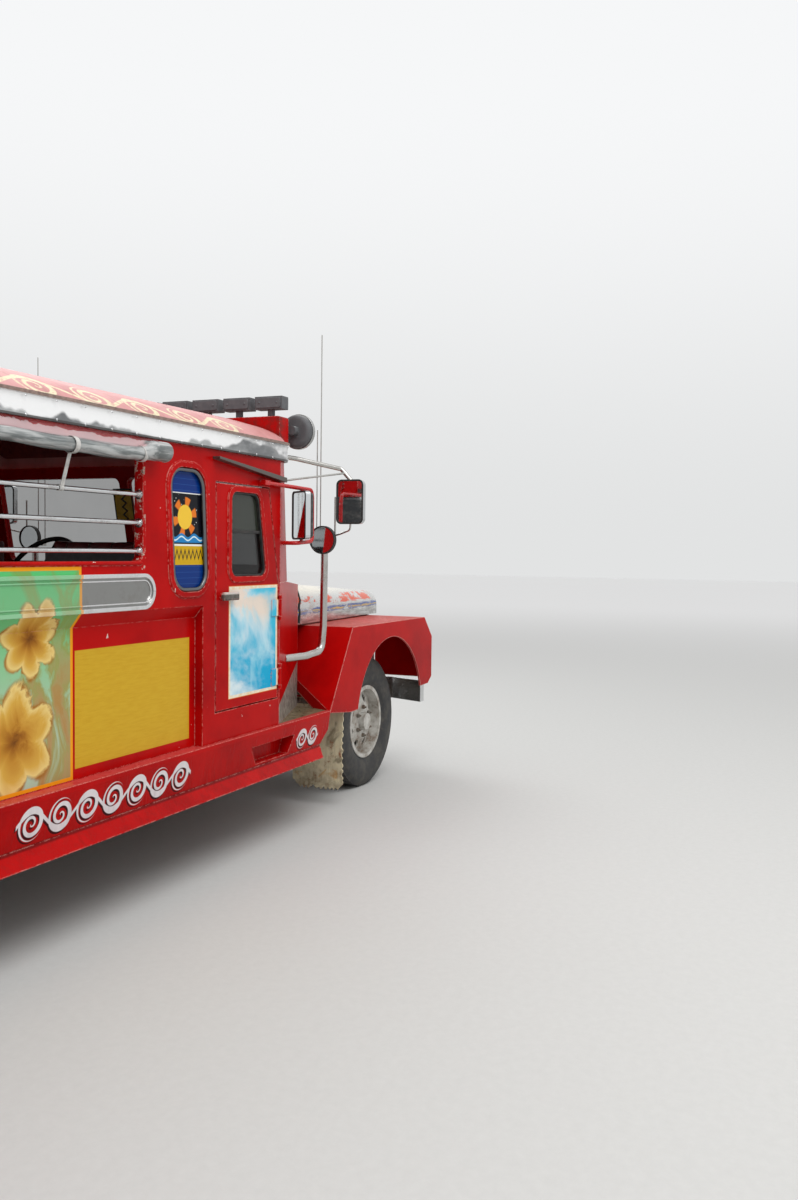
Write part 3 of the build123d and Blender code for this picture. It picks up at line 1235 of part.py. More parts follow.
def pillar_mirror():
    depth, width = PILLAR_MIRROR_SIZE
    slab = block((-depth / 2, depth / 2), (-width / 2, width / 2), PILLAR_MIRROR_Z)
    slab = fillet(slab.edges().filter_by(Axis.X), 20)
    return Pos(*PILLAR_MIRROR) * Rot(0, 0, PILLAR_MIRROR_TURN) * slab


def mirrors():
    x, y, z = ROUND_MIRROR
    back = x - TUBE_R - SEAT_GAP
    round_one = rod_x(ROUND_MIRROR_R, (back - MIRROR_GLASS, back), y, z)
    return both(Compound(children=[*far_mirror().solids(), *round_one.solids(), *pillar_mirror().solids()]))


# Mudflaps: rubber sheets behind the front wheels, hung from the fenders.
def mudflaps():
    top = FLAP_HANGER_Z[1] - 8
    inner, outer = FLAP_Y
    points = [(inner, top), (outer, top), (outer, 120), (outer - 68, 86), (inner + 35, 92), (inner, 140)]
    return both(along_x(outline(points), (FLAP_X - FLAP_HALF, FLAP_X + FLAP_HALF)))


# Tail lamps: a round-cornered lamp low on each side of the rear wall.
TAIL_LAMP_Y = (640, 800)
TAIL_LAMP_Z = (820, 900)
TAIL_LAMP_DEPTH = 30


def tail_lamps():
    lens = block((REAR_X - TAIL_LAMP_DEPTH, REAR_X), TAIL_LAMP_Y, TAIL_LAMP_Z)
    return both(fillet(lens.edges().filter_by(Axis.X), 24))


# Grab rails: two bright rails under the roof along the cabin, on short hangers, and a bar beside the doorway.
GRAB_R = 13
GRAB_Y = 360
GRAB_Z = 1960
GRAB_X = (-2800, 250)
HANGERS = 4
DOOR_BAR_Y = DOORWAY_HALF + 50
DOOR_BAR_OUT = 55
DOOR_BAR_Z = (950, 1650)


def grab_rails():
    rail = rod_x(GRAB_R, GRAB_X, GRAB_Y, GRAB_Z)
    for hanger in range(HANGERS):
        x = GRAB_X[0] + 60 + (GRAB_X[1] - GRAB_X[0] - 120) * hanger / (HANGERS - 1)
        rail += rod_z(8, (GRAB_Z, ROOF_TOP_Z + 20), x, GRAB_Y)
    rail = rail & roof_form(ROOF_WALL)
    out = REAR_X - DOOR_BAR_OUT
    y = DOOR_BAR_Y
    low, high = DOOR_BAR_Z
    bar = bent_tube([(REAR_X, y, low), (out, y, low), (out, y, high), (REAR_X, y, high)], 35, GRAB_R)
    return both(Compound(children=[*rail.solids(), *bar.solids()]))


# Seats: a bench along each side of the cabin and two seats in the cab, on tube frames.
BENCH_X = (-2960, 330)
BENCH_Y = (500, 880)
BENCH_Z = (985, 1060)
BENCH_BOARD = 18
BACK_LOW_Z = 1085
BACK_THICK = 48
LEG_R = 16
BENCH_LEGS = (-2800, -2150, -560, 250)
CAB_SEAT_X = (600, 1010)
CAB_SEAT_Y = (150, 650)
CAB_SEAT_Z = (900, 1010)
CAB_BACK_X = (520, 600)
CAB_BACK_Z = (1010, 1450)


def seat_frames():
    board_z = (BENCH_Z[0] - BENCH_BOARD, BENCH_Z[0])
    bench = block(BENCH_X, (BENCH_Y[0], INNER_LOW), board_z)
    for x in BENCH_LEGS:
        bench += rod_z(LEG_R, (FLOOR_Z, board_z[0] + 1), x, BENCH_Y[0] + 40)
    box = block(CAB_SEAT_X, CAB_SEAT_Y, (FLOOR_Z, CAB_SEAT_Z[0]))
    through = (CAB_SEAT_Y[0] - 1, CAB_SEAT_Y[1] + 1)
    box -= block((CAB_SEAT_X[0] + 20, CAB_SEAT_X[1] - 20), through, (FLOOR_Z + 30, CAB_SEAT_Z[0] - 20))
    post = block((CAB_BACK_X[0] - 20, CAB_BACK_X[0] - SEAT_GAP), CAB_SEAT_Y, (FLOOR_Z, CAB_BACK_Z[1] - 60))
    solids = list(bench.solids()) + list(box.solids()) + list(post.solids())
    return both(Compound(children=solids))


def bench_cushions():
    gap = SEAT_GAP
    seat = block((BENCH_X[0] + 5, BENCH_X[1] - 5), (BENCH_Y[0], BENCH_Y[1]), (BENCH_Z[0] + gap, BENCH_Z[1]))
    back_y = (INNER_LOW - BACK_THICK, INNER_LOW - gap)
    back = block((BENCH_X[0] + 5, WINDOW_X[1]), back_y, (BACK_LOW_Z, LEDGE_Z - 50))
    return both(Compound(children=list(seat.solids()) + list(back.solids())))


def cab_seats():
    gap = SEAT_GAP
    seat = block((CAB_SEAT_X[0], CAB_SEAT_X[1]), CAB_SEAT_Y, (CAB_SEAT_Z[0] + gap, CAB_SEAT_Z[1] - gap))
    back = block((CAB_BACK_X[0], CAB_BACK_X[1] - gap), CAB_SEAT_Y, (CAB_SEAT_Z[1] - 40, CAB_BACK_Z[1]))
    return both(Compound(children=list(seat.solids()) + list(back.solids())))


# Every piece, in the order in which the vehicle goes together.
PIECES = {
    "chassis_frame": chassis_frame,
    "cross_members": cross_members,
    "leaf_springs": leaf_springs,
    "front_axle": front_axle,
    "rear_axle": rear_axle,
    "engine_block": engine_block,
    "driveshaft": driveshaft,
    "fuel_tank": fuel_tank,
    "exhaust": exhaust,
    "floor": floor,
    "rear_wall": rear_wall,
    "rear_step": rear_step,
    "roof": roof,
    "roof_fascia": roof_fascia,
    "cowl": cowl,
    "windshield_frame": windshield_frame,
    "fixed_glass": fixed_glass,
    "dashboard": dashboard,
    "fenders": lambda: both(fender()),
    "side_skirts": lambda: both(side_skirt()),
    "front_grille": front_grille,
    "headlamps": headlamps,
    "front_bumper": front_bumper,
    "hood": hood,
    "door_visors": door_visors,
    "steering_wheel": steering_wheel,
    "sign_board": sign_board,
    "roof_lamps": roof_lamps,
    "window_bars": window_bars,
    "rain_curtains": rain_curtains,
    "mirror_arms": mirror_arms,
    "mirrors": mirrors,
    "mudflaps": mudflaps,
    "tail_lamps": tail_lamps,
    "grab_rails": grab_rails,
    "seat_frames": seat_frames,
    "bench_cushions": bench_cushions,
    "cab_seats": cab_seats,
}
SIDED_PIECES = {
    "side_wall": side_wall,
    "door": door,
    "door_glass": door_glass,
    "knuckle": knuckle,
    "tyre_front": lambda: tyre(FRONT_AXLE_X, FRONT_TRACK_Y),
    "tyre_rear": rear_tyres,
    "rim_front": front_rim,
    "rim_rear": rear_rim,
}

for name, make in PIECES.items():
    write(name, make())
for name, make in SIDED_PIECES.items():
    drawn = make()
    for side_name, side in SIDES.items():
        write(f"{name}_{side_name}", side_of(drawn, side))
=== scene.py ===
import math

import bmesh
import bpy
from mathutils import Matrix, Vector, noise


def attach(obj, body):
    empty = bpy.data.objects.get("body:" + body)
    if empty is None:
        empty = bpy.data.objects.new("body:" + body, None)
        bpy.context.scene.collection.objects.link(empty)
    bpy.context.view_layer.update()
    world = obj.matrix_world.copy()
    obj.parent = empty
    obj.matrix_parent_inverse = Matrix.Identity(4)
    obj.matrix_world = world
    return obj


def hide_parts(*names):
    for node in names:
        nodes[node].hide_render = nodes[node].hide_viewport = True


# Jeepney: a long open-sided passenger vehicle with a red body, a faded roof and bright metal trim. Metres.
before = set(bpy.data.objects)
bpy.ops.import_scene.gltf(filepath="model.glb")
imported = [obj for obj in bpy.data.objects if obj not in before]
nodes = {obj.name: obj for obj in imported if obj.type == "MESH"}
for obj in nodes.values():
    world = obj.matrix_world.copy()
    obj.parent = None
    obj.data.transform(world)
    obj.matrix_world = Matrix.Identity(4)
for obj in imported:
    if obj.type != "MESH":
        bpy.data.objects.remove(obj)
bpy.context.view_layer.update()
scene = bpy.context.scene
SIDES = {"left": 1, "right": -1}
NOISE_SEED = 3               # every run wears the metal alike
noise.seed_set(NOISE_SEED)

# The photograph's view: from behind on the right, at eye height, along the side towards the nose.
# The rear half of the vehicle is behind the camera's left edge, as it is in the photograph.
CAMERA_PLACE = (-3.225, -3.49, 1.40)
CAMERA_TURN = (87.409, -0.699, -66.724)
LENS = 31.5

lens = bpy.data.cameras.new("photo_view")
lens.lens = LENS
lens.sensor_width = 36
camera = bpy.data.objects.new("photo_view", lens)
camera.location = CAMERA_PLACE
camera.rotation_euler = [math.radians(turn) for turn in CAMERA_TURN]
scene.collection.objects.link(camera)
scene.camera = camera
scene.view_settings.view_transform = "Standard"


# Studio: a pale floor, a pale wall of light all round that is darker near the horizon, and two wide lamps.
# The first finish made is the floor's, so the shader helpers stand here.
def srgb(red, green, blue):
    """A colour given from 0 to 255, as the shaders want it."""
    shades = (red, green, blue)
    return tuple(((c / 255 + 0.055) / 1.055) ** 2.4 if c > 10 else c / 3294.6 for c in shades) + (1.0,)


class Wire:
    """One socket among a material's nodes. Arithmetic on wires adds Math nodes."""

    def __init__(self, tree, socket):
        self.tree = tree
        self.socket = socket

    def node(self, kind, settings, sockets, output=0):
        """Adds any other node: its settings come first, then the values or wires of its sockets."""
        made = self.tree.nodes.new("ShaderNode" + kind)
        for name, value in settings.items():
            if name == "stops":
                while len(made.color_ramp.elements) < len(value):
                    made.color_ramp.elements.new(1)
                for element, (place, color) in zip(made.color_ramp.elements, value):
                    element.position, element.color = place, color
            else:
                setattr(made, name, value)
        for name, value in sockets.items():
            if isinstance(value, Wire):
                self.tree.links.new(value.socket, made.inputs[name])
            else:
                made.inputs[name].default_value = value
        return Wire(self.tree, made.outputs[output])

    def math(self, operation, *values):
        return self.node("Math", {"operation": operation}, dict(enumerate(values)))

    def __add__(self, other):
        return self.math("ADD", self, other)

    def __radd__(self, other):
        return self.math("ADD", other, self)

    def __sub__(self, other):
        return self.math("SUBTRACT", self, other)

    def __rsub__(self, other):
        return self.math("SUBTRACT", other, self)

    def __mul__(self, other):
        return self.math("MULTIPLY", self, other)

    def __truediv__(self, other):
        return self.math("DIVIDE", self, other)

    def most(self, other):
        return self.math("MAXIMUM", self, other)

    def least(self, other):
        return self.math("MINIMUM", self, other)

    def size(self):
        return self.math("ABSOLUTE", self)

    def sine(self):
        return self.math("SINE", self)

    def floor(self):
        return self.math("FLOOR", self)

    def odd(self):
        """1 for an odd whole number and 0 for an even one."""
        return self.math("FLOORED_MODULO", self, 2)

    def fold(self, step):
        """Runs from 0 up to step and down again, over and over."""
        return self.math("PINGPONG", self, step)

    def length(self, other):
        """How far out a place is that lies this far one way and that far the other."""
        return self.math("SQRT", self * self + other * other)

    def angle(self, across):
        """The angle of a place that lies this far up and that far across."""
        return self.math("ARCTAN2", self, across)

    def rise(self, low, high):
        """0 below low, 1 above high, smooth between. With low above high it falls instead."""
        return self.node("MapRange", {"interpolation_type": "SMOOTHSTEP"}, {0: self, 1: low, 2: high})

    def within(self, low, high, soft):
        """1 between low and high, with soft edges that wide."""
        return self.rise(low - soft, low + soft) * self.rise(high + soft, high - soft)

    def parts(self):
        """The three numbers of a vector."""
        split = self.node("SeparateXYZ", {}, {0: self})
        outputs = split.socket.node.outputs
        return [Wire(self.tree, outputs[axis]) for axis in range(3)]

    def stretched(self, x, y, z):
        """The same place, stretched along each axis."""
        return self.node("VectorMath", {"operation": "MULTIPLY"}, {0: self, 1: (x, y, z)})

    def noise(self, scale, detail=4, roughness=0.55, bend=0):
        look = {"Scale": scale, "Detail": detail, "Roughness": roughness, "Distortion": bend}
        return self.node("TexNoise", {}, {"Vector": self, **look})

    def pores(self, scale):
        """0 on a fine net of creases, as in grained vinyl, and rising inside its cells."""
        return self.node("TexVoronoi", {"feature": "DISTANCE_TO_EDGE"}, {"Vector": self, "Scale": scale})

    def mix(self, color_a, color_b):
        """This wire mixes two colours: the first at 0, the second at 1."""
        return self.node("Mix", {"data_type": "RGBA"}, {0: self, 6: color_a, 7: color_b}, output=2)

    def bump(self, distance, strength=1.0, under=None):
        sockets = {"Height": self, "Distance": distance, "Strength": strength}
        if under is not None:
            sockets["Normal"] = under
        return self.node("Bump", {}, sockets)


class Finish:
    """A material with one shader. place holds Object coordinates in metres."""

    def __init__(self, name, **fixed):
        self.material = bpy.data.materials.new(name)
        self.material.use_nodes = True
        tree = self.material.node_tree
        self.shader = tree.nodes["Principled BSDF"]
        self.place = Wire(tree, tree.nodes.new("ShaderNodeTexCoord").outputs["Object"])
        for socket, value in fixed.items():
            self[socket.replace("_", " ")] = value

    def __setitem__(self, socket, value):
        target = self.shader.inputs[socket]
        if isinstance(value, Wire):
            value.tree.links.new(value.socket, target)
        else:
            target.default_value = value

    def soft_edge(self, radius):
        """The surface's direction with its sharp edges rounded."""
        return self.place.node("Bevel", {"samples": 4}, {"Radius": radius})


def put(finish, *names):
    """Gives a finish to CAD nodes."""
    for name in names:
        slots = nodes[name].data.materials
        slots.clear()
        slots.append(finish.material)


def solid(name, bm, finish, body="body", bevel=0.0, smooth=True):
    """Makes a finished piece from a bmesh, riding on a body."""
    bmesh.ops.recalc_face_normals(bm, faces=bm.faces)
    mesh = bpy.data.meshes.new(name)
    bm.to_mesh(mesh)
    bm.free()
    piece = bpy.data.objects.new(name, mesh)
    scene.collection.objects.link(piece)
    mesh.materials.append(finish.material)
    if bevel:
        rounded = piece.modifiers.new("rounded", "BEVEL")
        rounded.width, rounded.segments, rounded.limit_method = bevel, 2, "ANGLE"
        rounded.angle_limit = math.radians(35)
    if smooth:
        mesh.shade_smooth()
        mesh.set_sharp_from_angle(angle=math.radians(40))
    if body:
        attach(piece, body)
    return piece


floor_finish = Finish("studio_floor", Roughness=0.85)
floor_grain = floor_finish.place.noise(30, 6, 0.7)
floor_x, floor_y, _ = floor_finish.place.parts()
floor_far = floor_x.length(floor_y).rise(4, 26)
floor_near = floor_grain.mix(srgb(196, 196, 194), srgb(208, 208, 206))
floor_finish["Base Color"] = floor_far.mix(floor_near, srgb(246, 246, 246))
floor_finish["Normal"] = floor_grain.bump(0.002, 0.3)
sheet = bmesh.new()
bmesh.ops.create_grid(sheet, x_segments=1, y_segments=1, size=60)
studio_floor = solid("studio_floor", sheet, floor_finish, body=None)

world = bpy.data.worlds.new("studio")
world.use_nodes = True
scene.world = world
sky = world.node_tree.nodes["Background"]
direction = Wire(world.node_tree, world.node_tree.nodes.new("ShaderNodeTexCoord").outputs["Generated"])
height = direction.parts()[2]
light_path = world.node_tree.nodes.new("ShaderNodeLightPath").outputs
by_camera, by_gloss, by_glass = [
    Wire(world.node_tree, light_path["Is " + ray + " Ray"]) for ray in ("Camera", "Glossy", "Transmission")
]
seen = by_camera.most(by_gloss).most(by_glass)
light_color = height.rise(-0.05, 0.55).mix(srgb(206, 208, 208), srgb(255, 255, 255))
sky_color = seen.mix(light_color, height.rise(0.0, 0.4).mix(srgb(226, 227, 227), srgb(246, 247, 248)))
world.node_tree.links.new(sky_color.socket, sky.inputs["Color"])
world.node_tree.links.new((seen * 0.2 + 0.8).socket, sky.inputs["Strength"])

LAMPS = [  # name, place, what it looks at, size, power
    ("wide_lamp", (-1.0, -4.5, 7.5), (0.3, 0.0, 1.0), 6.0, 330),
    ("far_lamp", (5.5, 4.0, 6.0), (1.0, 0.0, 1.0), 5.0, 160),
]
for name, place, target, size, power in LAMPS:
    lamp = bpy.data.lights.new(name, "AREA")
    lamp.shape, lamp.size, lamp.energy = "DISK", size, power
    holder = bpy.data.objects.new(name, lamp)
    holder.location = place
    holder.rotation_euler = (Vector(target) - Vector(place)).to_track_quat("-Z", "Y").to_euler()
    scene.collection.objects.link(holder)


# Frame and running gear: rolled and cast steel, black or bare, under years of road dust.
# The finish is one recipe with its own colours for frame, castings and plain steel.
DUST = srgb(140, 124, 104)


def gear_finish(name, color, worn, roughness, metal):
    made = Finish(name)
    patches = made.place.noise(7, 8, 0.65)
    grime = made.place.noise(34, 5, 0.6)
    low = made.place.parts()[2].rise(0.75, 0.25)
    dusty = (patches.rise(0.42, 0.68) * 0.55 + low * 0.35).least(0.85)
    color = grime.rise(0.45, 0.7).mix(color, worn)
    made["Base Color"] = dusty.mix(color, DUST)
    made["Roughness"] = dusty * 0.3 + roughness
    made["Metallic"] = (1 - dusty) * metal
    made["Normal"] = grime.bump(0.0008, 0.5, made.soft_edge(0.003))
    return made


frame_black = gear_finish("frame_black", srgb(34, 33, 33), srgb(70, 56, 46), 0.55, 0.0)
cast_iron = gear_finish("cast_iron", srgb(86, 82, 78), srgb(106, 78, 58), 0.6, 0.4)
plain_steel = gear_finish("plain_steel", srgb(124, 122, 118), srgb(112, 84, 62), 0.45, 0.7)
put(frame_black, "chassis_frame", "cross_members", "leaf_springs")
put(cast_iron, "front_axle", "rear_axle", "knuckle_left", "knuckle_right", "engine_block")
put(plain_steel, "driveshaft", "fuel_tank", "exhaust")


# Tyres: black rubber gone grey, with a rounded wall, a raised ring near the bead and a tread of cast blocks.
# Half a section is spun round the axle, and the tread's faces are drawn out as blocks.
AXLE_Z = 0.385
TYRE_R = 0.385
TREAD_DEPTH = 0.011
WHEELS = {  # axle's X, middles of the tyres on the left
    "front": (2.46, (0.76,)),
    "rear": (-1.29, (0.605, 0.825)),
}
TYRE_SECTION = [  # half width, radius
    (0.074, 0.204),
    (0.078, 0.222),
    (0.086, 0.236),
    (0.089, 0.240),
    (0.093, 0.246),
    (0.0985, 0.272),
    (0.100, 0.300),
    (0.0985, 0.326),
    (0.095, 0.346),
    (0.091, 0.362),
    (0.078, TYRE_R - TREAD_DEPTH - 0.001),
    (0.046, TYRE_R - TREAD_DEPTH),
    (0.015, TYRE_R - TREAD_DEPTH),
]
TREAD_TURNS = 60
TREAD_GAP = 0.0042            # how far each block stands in from its edge

rubber = Finish("tyre_rubber")
rubber_stain = rubber.place.noise(14, 7, 0.7)
rubber_grain = rubber.place.noise(160, 3, 0.6)
rubber_dust = rubber_stain.rise(0.38, 0.7)
rubber["Base Color"] = rubber_dust.mix(srgb(50, 50, 51), srgb(82, 79, 74))
rubber["Roughness"] = rubber_dust * 0.15 + 0.72
rubber["Normal"] = rubber_grain.bump(0.0006, 0.4)


def spin_round(bm, geom, centre, axis, steps):
    """Spins a line once round an axis into a skin."""
    bmesh.ops.spin(bm, geom=geom, cent=centre, axis=axis, angle=2 * math.pi, steps=steps, use_merge=True)


def tyre_ring(bm, axle_x, middle):
    """One tyre round its axle, with its tread blocks."""
    near_half = [(-half, radius) for half, radius in TYRE_SECTION]
    points = near_half + [(half, radius) for half, radius in TYRE_SECTION[::-1]]
    line = [bm.verts.new((axle_x, middle + across, AXLE_Z + radius)) for across, radius in points]
    edges = [bm.edges.new(pair) for pair in zip(line, line[1:])]
    axle = Vector((axle_x, middle, AXLE_Z))
    spin_round(bm, line + edges, axle, (0, 1, 0), TREAD_TURNS)
    blocks = []
    for face in bm.faces:
        centre = face.calc_center_median() - axle
        if abs(centre.y) < 0.08 and Vector((centre.x, centre.z)).length > TYRE_R - TREAD_DEPTH - 0.008:
            blocks.append(face)
    bmesh.ops.recalc_face_normals(bm, faces=bm.faces)
    bmesh.ops.inset_individual(bm, faces=blocks, thickness=TREAD_GAP, depth=TREAD_DEPTH)


def add_copy(bm, other, matrix=Matrix()):
    """Adds a copy of one bmesh to another."""
    part = bpy.data.meshes.new("part")
    other.to_mesh(part)
    part.transform(matrix)
    bm.from_mesh(part)
    bpy.data.meshes.remove(part)


for end, (axle_x, middles) in WHEELS.items():
    for side_name, side in SIDES.items():
        corner = end + "_" + side_name
        rings = bmesh.new()
        for middle in middles:
            ring = bmesh.new()
            tyre_ring(ring, axle_x, side * middle)
            add_copy(rings, ring)
            ring.free()
        tyre = solid("cast_tyre_" + corner, rings, rubber, "wheel_" + corner)
        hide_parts("tyre_" + corner)


# Body shell: pressed steel sheet in red enamel, put on by hand over older coats.
# It is chipped along its edges, dusty on its ledges and filmed with road dirt low down.
ENAMEL = srgb(186, 10, 9)
ENAMEL_DEEP = srgb(158, 6, 8)
CHIP = srgb(232, 160, 148)
LEDGE_DUST = srgb(170, 104, 88)
ROAD_FILM = srgb(74, 26, 20)
RUST_STAIN = srgb(86, 44, 38)
# The next colour is a painted highlight along the folds.
FOLD_HIGHLIGHT = srgb(238, 176, 166)


def facing(place):
    """The surface's own direction, before any bump."""
    return place.node("NewGeometry", {}, {}, output=1)


def outer_side(place):
    """1 on faces that look away from the vehicle's middle plane, -1 on those that look towards it."""
    y = place.parts()[1]
    return facing(place).parts()[1] * y.math("SIGN", y)


def edge_wear(finish, radius):
    """1 along sharp edges, 0 on flat metal."""
    vectors = {0: facing(finish.place), 1: finish.soft_edge(radius)}
    alike = finish.place.node("VectorMath", {"operation": "DOT_PRODUCT"}, vectors, output=1)
    return (1 - alike).rise(0.015, 0.2)


def enamel(name, artwork=None, dust=0.42, rusty=0.0, fold_highlight=0.0):
    """The body's paint. Every artwork takes the same five values and gives the red's new colour.

    The last argument paints a thin pale highlight along the folds, broken into patches by noise.
    """
    made = Finish(name, IOR=1.3, Specular_IOR_Level=0.14)
    x, y, z = made.place.parts()
    blotches = made.place.noise(2.2, 6, 0.62)
    speckle = made.place.noise(64, 5, 0.7)
    color = blotches.rise(0.38, 0.68).mix(ENAMEL, ENAMEL_DEEP)
    if artwork:
        color = artwork(made.place, x, y, z, color)
    streaks = made.place.stretched(14, 14, 1.3).noise(3, 5, 0.6)
    film = z.rise(0.7, 0.3) * streaks.rise(0.4, 0.75) * 0.25
    ledge = facing(made.place).parts()[2].rise(0.75, 0.97) * speckle.rise(0.3, 0.62) * dust
    chips = edge_wear(made, 0.007) * speckle.rise(0.44, 0.55) * 0.9
    if rusty:
        color = (made.place.noise(9, 7, 0.7).rise(0.42, 0.66) * rusty).mix(color, RUST_STAIN)
    color = chips.mix(ledge.mix(film.mix(color, ROAD_FILM), LEDGE_DUST), CHIP)
    # Painted highlight: a thin pale line along the folds.
    if fold_highlight:
        rubbed = made.place.noise(26, 5, 0.6).rise(0.3, 0.5) * fold_highlight
        color = (edge_wear(made, 0.009) * rubbed).mix(color, FOLD_HIGHLIGHT)
    made["Base Color"] = color
    made["Roughness"] = blotches * 0.14 + ledge * 0.6 + film * 0.5 + 0.17
    waves = made.place.noise(3.4, 2, 0.5).bump(0.006, 0.3, made.soft_edge(0.005))
    made["Normal"] = made.place.noise(240, 2, 0.5).bump(0.0002, 0.3, waves)
    return made


body_enamel = enamel("body_enamel")
put(body_enamel, "rear_wall", "windshield_frame")
board_enamel = enamel("board_enamel", dust=0.7, rusty=0.8)
put(board_enamel, "sign_board")


# Painted boards on the long walls: a bare yellow one near the cab, and a wide picture of blossoms behind it.
# Both are brushed straight on to the enamel, and the picture runs on over the bright trim above.
# The post at the front of the long window has lost paint along its edge, down to primer and rust.
BOARD_X = (-0.232, 0.478)
BOARD_Z = (0.605, 1.033)
PICTURE_X = (-1.18, -0.243)
PICTURE_Z = (0.568, 1.336)
PICTURE_EDGE = 0.013
FLAKED_X = (0.085, 0.125)
FLAKED_Z = (1.30, 1.79)
BLOSSOMS = [  # middle in X and Z, radius, petals, turn
    (-1.06, 1.20, 0.10, 5, 1.3),
    (-0.74, 1.22, 0.09, 6, 0.2),
    (-0.46, 1.09, 0.14, 7, 0.5),
    (-1.03, 0.70, 0.14, 6, 0.1),
    (-0.81, 0.98, 0.18, 7, 0.9),
    (-0.53, 0.75, 0.20, 6, 0.35),
]
PETAL_STOPS = [  # from a blossom's heart to its edge
    (0.0, srgb(112, 66, 26)),
    (0.16, srgb(158, 100, 34)),
    (0.36, srgb(192, 136, 50)),
    (0.68, srgb(214, 168, 74)),
    (0.9, srgb(232, 204, 128)),
    (1.0, srgb(162, 108, 44)),
]
# A darker red for the walls' inside faces, a painted shade for the unlit cabin.
SHADED_WALL_INSIDE = srgb(120, 8, 8)


def panel_mask(x, z, x_range, z_range, inset=0.0):
    """1 inside a painted panel, or only that far in from its edge."""
    low_x, high_x = x_range
    low_z, high_z = z_range
    return x.within(low_x + inset, high_x - inset, 0.0012) * z.within(low_z + inset, high_z - inset, 0.0012)


def blossom_color(place, x, z):
    """Gold and cream blossoms with brown shadows, on a ground that fades down from green to grey-green."""
    strokes = place.noise(9, 7, 0.62, 1.4)
    x = x + (strokes - 0.5) * 0.045
    z = z + (strokes - 0.5) * 0.045
    color = z.rise(0.7, 1.3).mix(srgb(176, 198, 172), srgb(96, 196, 120))
    leaves = place.stretched(1, 1, 0.6).noise(5, 5, 0.6, 1.2)
    color = (leaves.within(0.5, 0.58, 0.05) * 0.7).mix(color, srgb(140, 156, 72))
    earth = (leaves.rise(0.42, 0.66) * z.rise(1.3, 0.85) + x.rise(-0.7, -1.1) * 0.5).least(1)
    color = (earth * 0.85).mix(color, srgb(176, 122, 48))
    for middle_x, middle_z, radius, petals, turn in BLOSSOMS:
        across = x - middle_x
        up = z - middle_z
        out = across.length(up)
        angle = up.angle(across)
        lobes = (angle * (petals / 2) + turn).sine().size() * 0.3 + 0.7
        reach = out / (lobes * radius)
        petal = reach.node("ValToRGB", {"stops": PETAL_STOPS}, {0: reach + (strokes - 0.5) * 0.5})
        color = reach.rise(1.08, 0.94).mix(color, petal)
    return color


def picture(place, x, z, color, strength=1.0):
    """The blossom picture in its orange edge, over a colour."""
    whole = panel_mask(x, z, PICTURE_X, PICTURE_Z)
    inner = panel_mask(x, z, PICTURE_X, PICTURE_Z, PICTURE_EDGE)
    painted = inner.mix(srgb(238, 158, 30), blossom_color(place, x, z))
    return (whole * strength).mix(color, painted)


def wall_artwork(place, x, y, z, color):
    outside = outer_side(place).rise(0.1, 0.3)
    brushed = place.stretched(3, 3, 26).noise(5, 5, 0.6)
    yellow = brushed.rise(0.3, 0.75).mix(srgb(208, 168, 48), srgb(200, 157, 40))
    board = panel_mask(x, z, BOARD_X, BOARD_Z) * outside
    color = board.mix(color, yellow)
    flaked = place.noise(34, 6, 0.7)
    by_window = x.within(*FLAKED_X, 0.004) * z.within(*FLAKED_Z, 0.01)
    color = (by_window * flaked.rise(0.56, 0.60)).mix(color, srgb(206, 190, 176))
    color = (by_window * flaked.rise(0.62, 0.65)).mix(color, srgb(104, 66, 48))
    knocks = place.noise(21, 3, 0.6).rise(0.735, 0.745)
    color = knocks.mix(color, srgb(224, 214, 206))
    color = outside.mix(color, picture(place, x, z, color))
    # Painted shade: the inside faces are painted a darker red.
    return outer_side(place).rise(-0.3, -0.6).mix(color, SHADED_WALL_INSIDE)


wall_enamel = enamel("wall_enamel", wall_artwork)
put(wall_enamel, "side_wall_left", "side_wall_right")


# Skirts: the red panels below the walls, with white brush scrolls shaded in dark red along their outer face.
# The step well on top of their front end is bare, dusty sheet.
SCROLLS = [  # from X, to X, middle and height in Z, curls
    (-0.576, 0.422, 0.474, 0.125, 7),
    (1.335, 1.565, 0.462, 0.105, 2),
    (-2.35, -1.95, 0.474, 0.115, 3),
]


def scrollwork(x, z, start, end, middle, height, curls):
    """A row of curls along a wavy stem, every other one turned over: 1 on the brush strokes."""
    cell = (end - start) / curls
    along = (x - start) / cell
    number = along.floor()
    flip = 1 - number.odd() * 2
    across = (along - number - 0.5) * cell
    up = (z - middle) * flip
    out = across.length(up)
    turn = up.angle(across) / (2 * math.pi)
    arm = out / (height * 0.24) - turn
    arm = (arm.math("FRACT", arm) - 0.5).size()
    curl = (arm - out * (0.7 / height)).rise(0.07, 0.02) * out.rise(height * 0.49, height * 0.47)
    wave = z - middle - (along * math.pi).sine() * (height * 0.33)
    stem = wave.size().rise(height * 0.075, height * 0.05)
    return curl.most(stem) * x.within(start, end, 0.001)


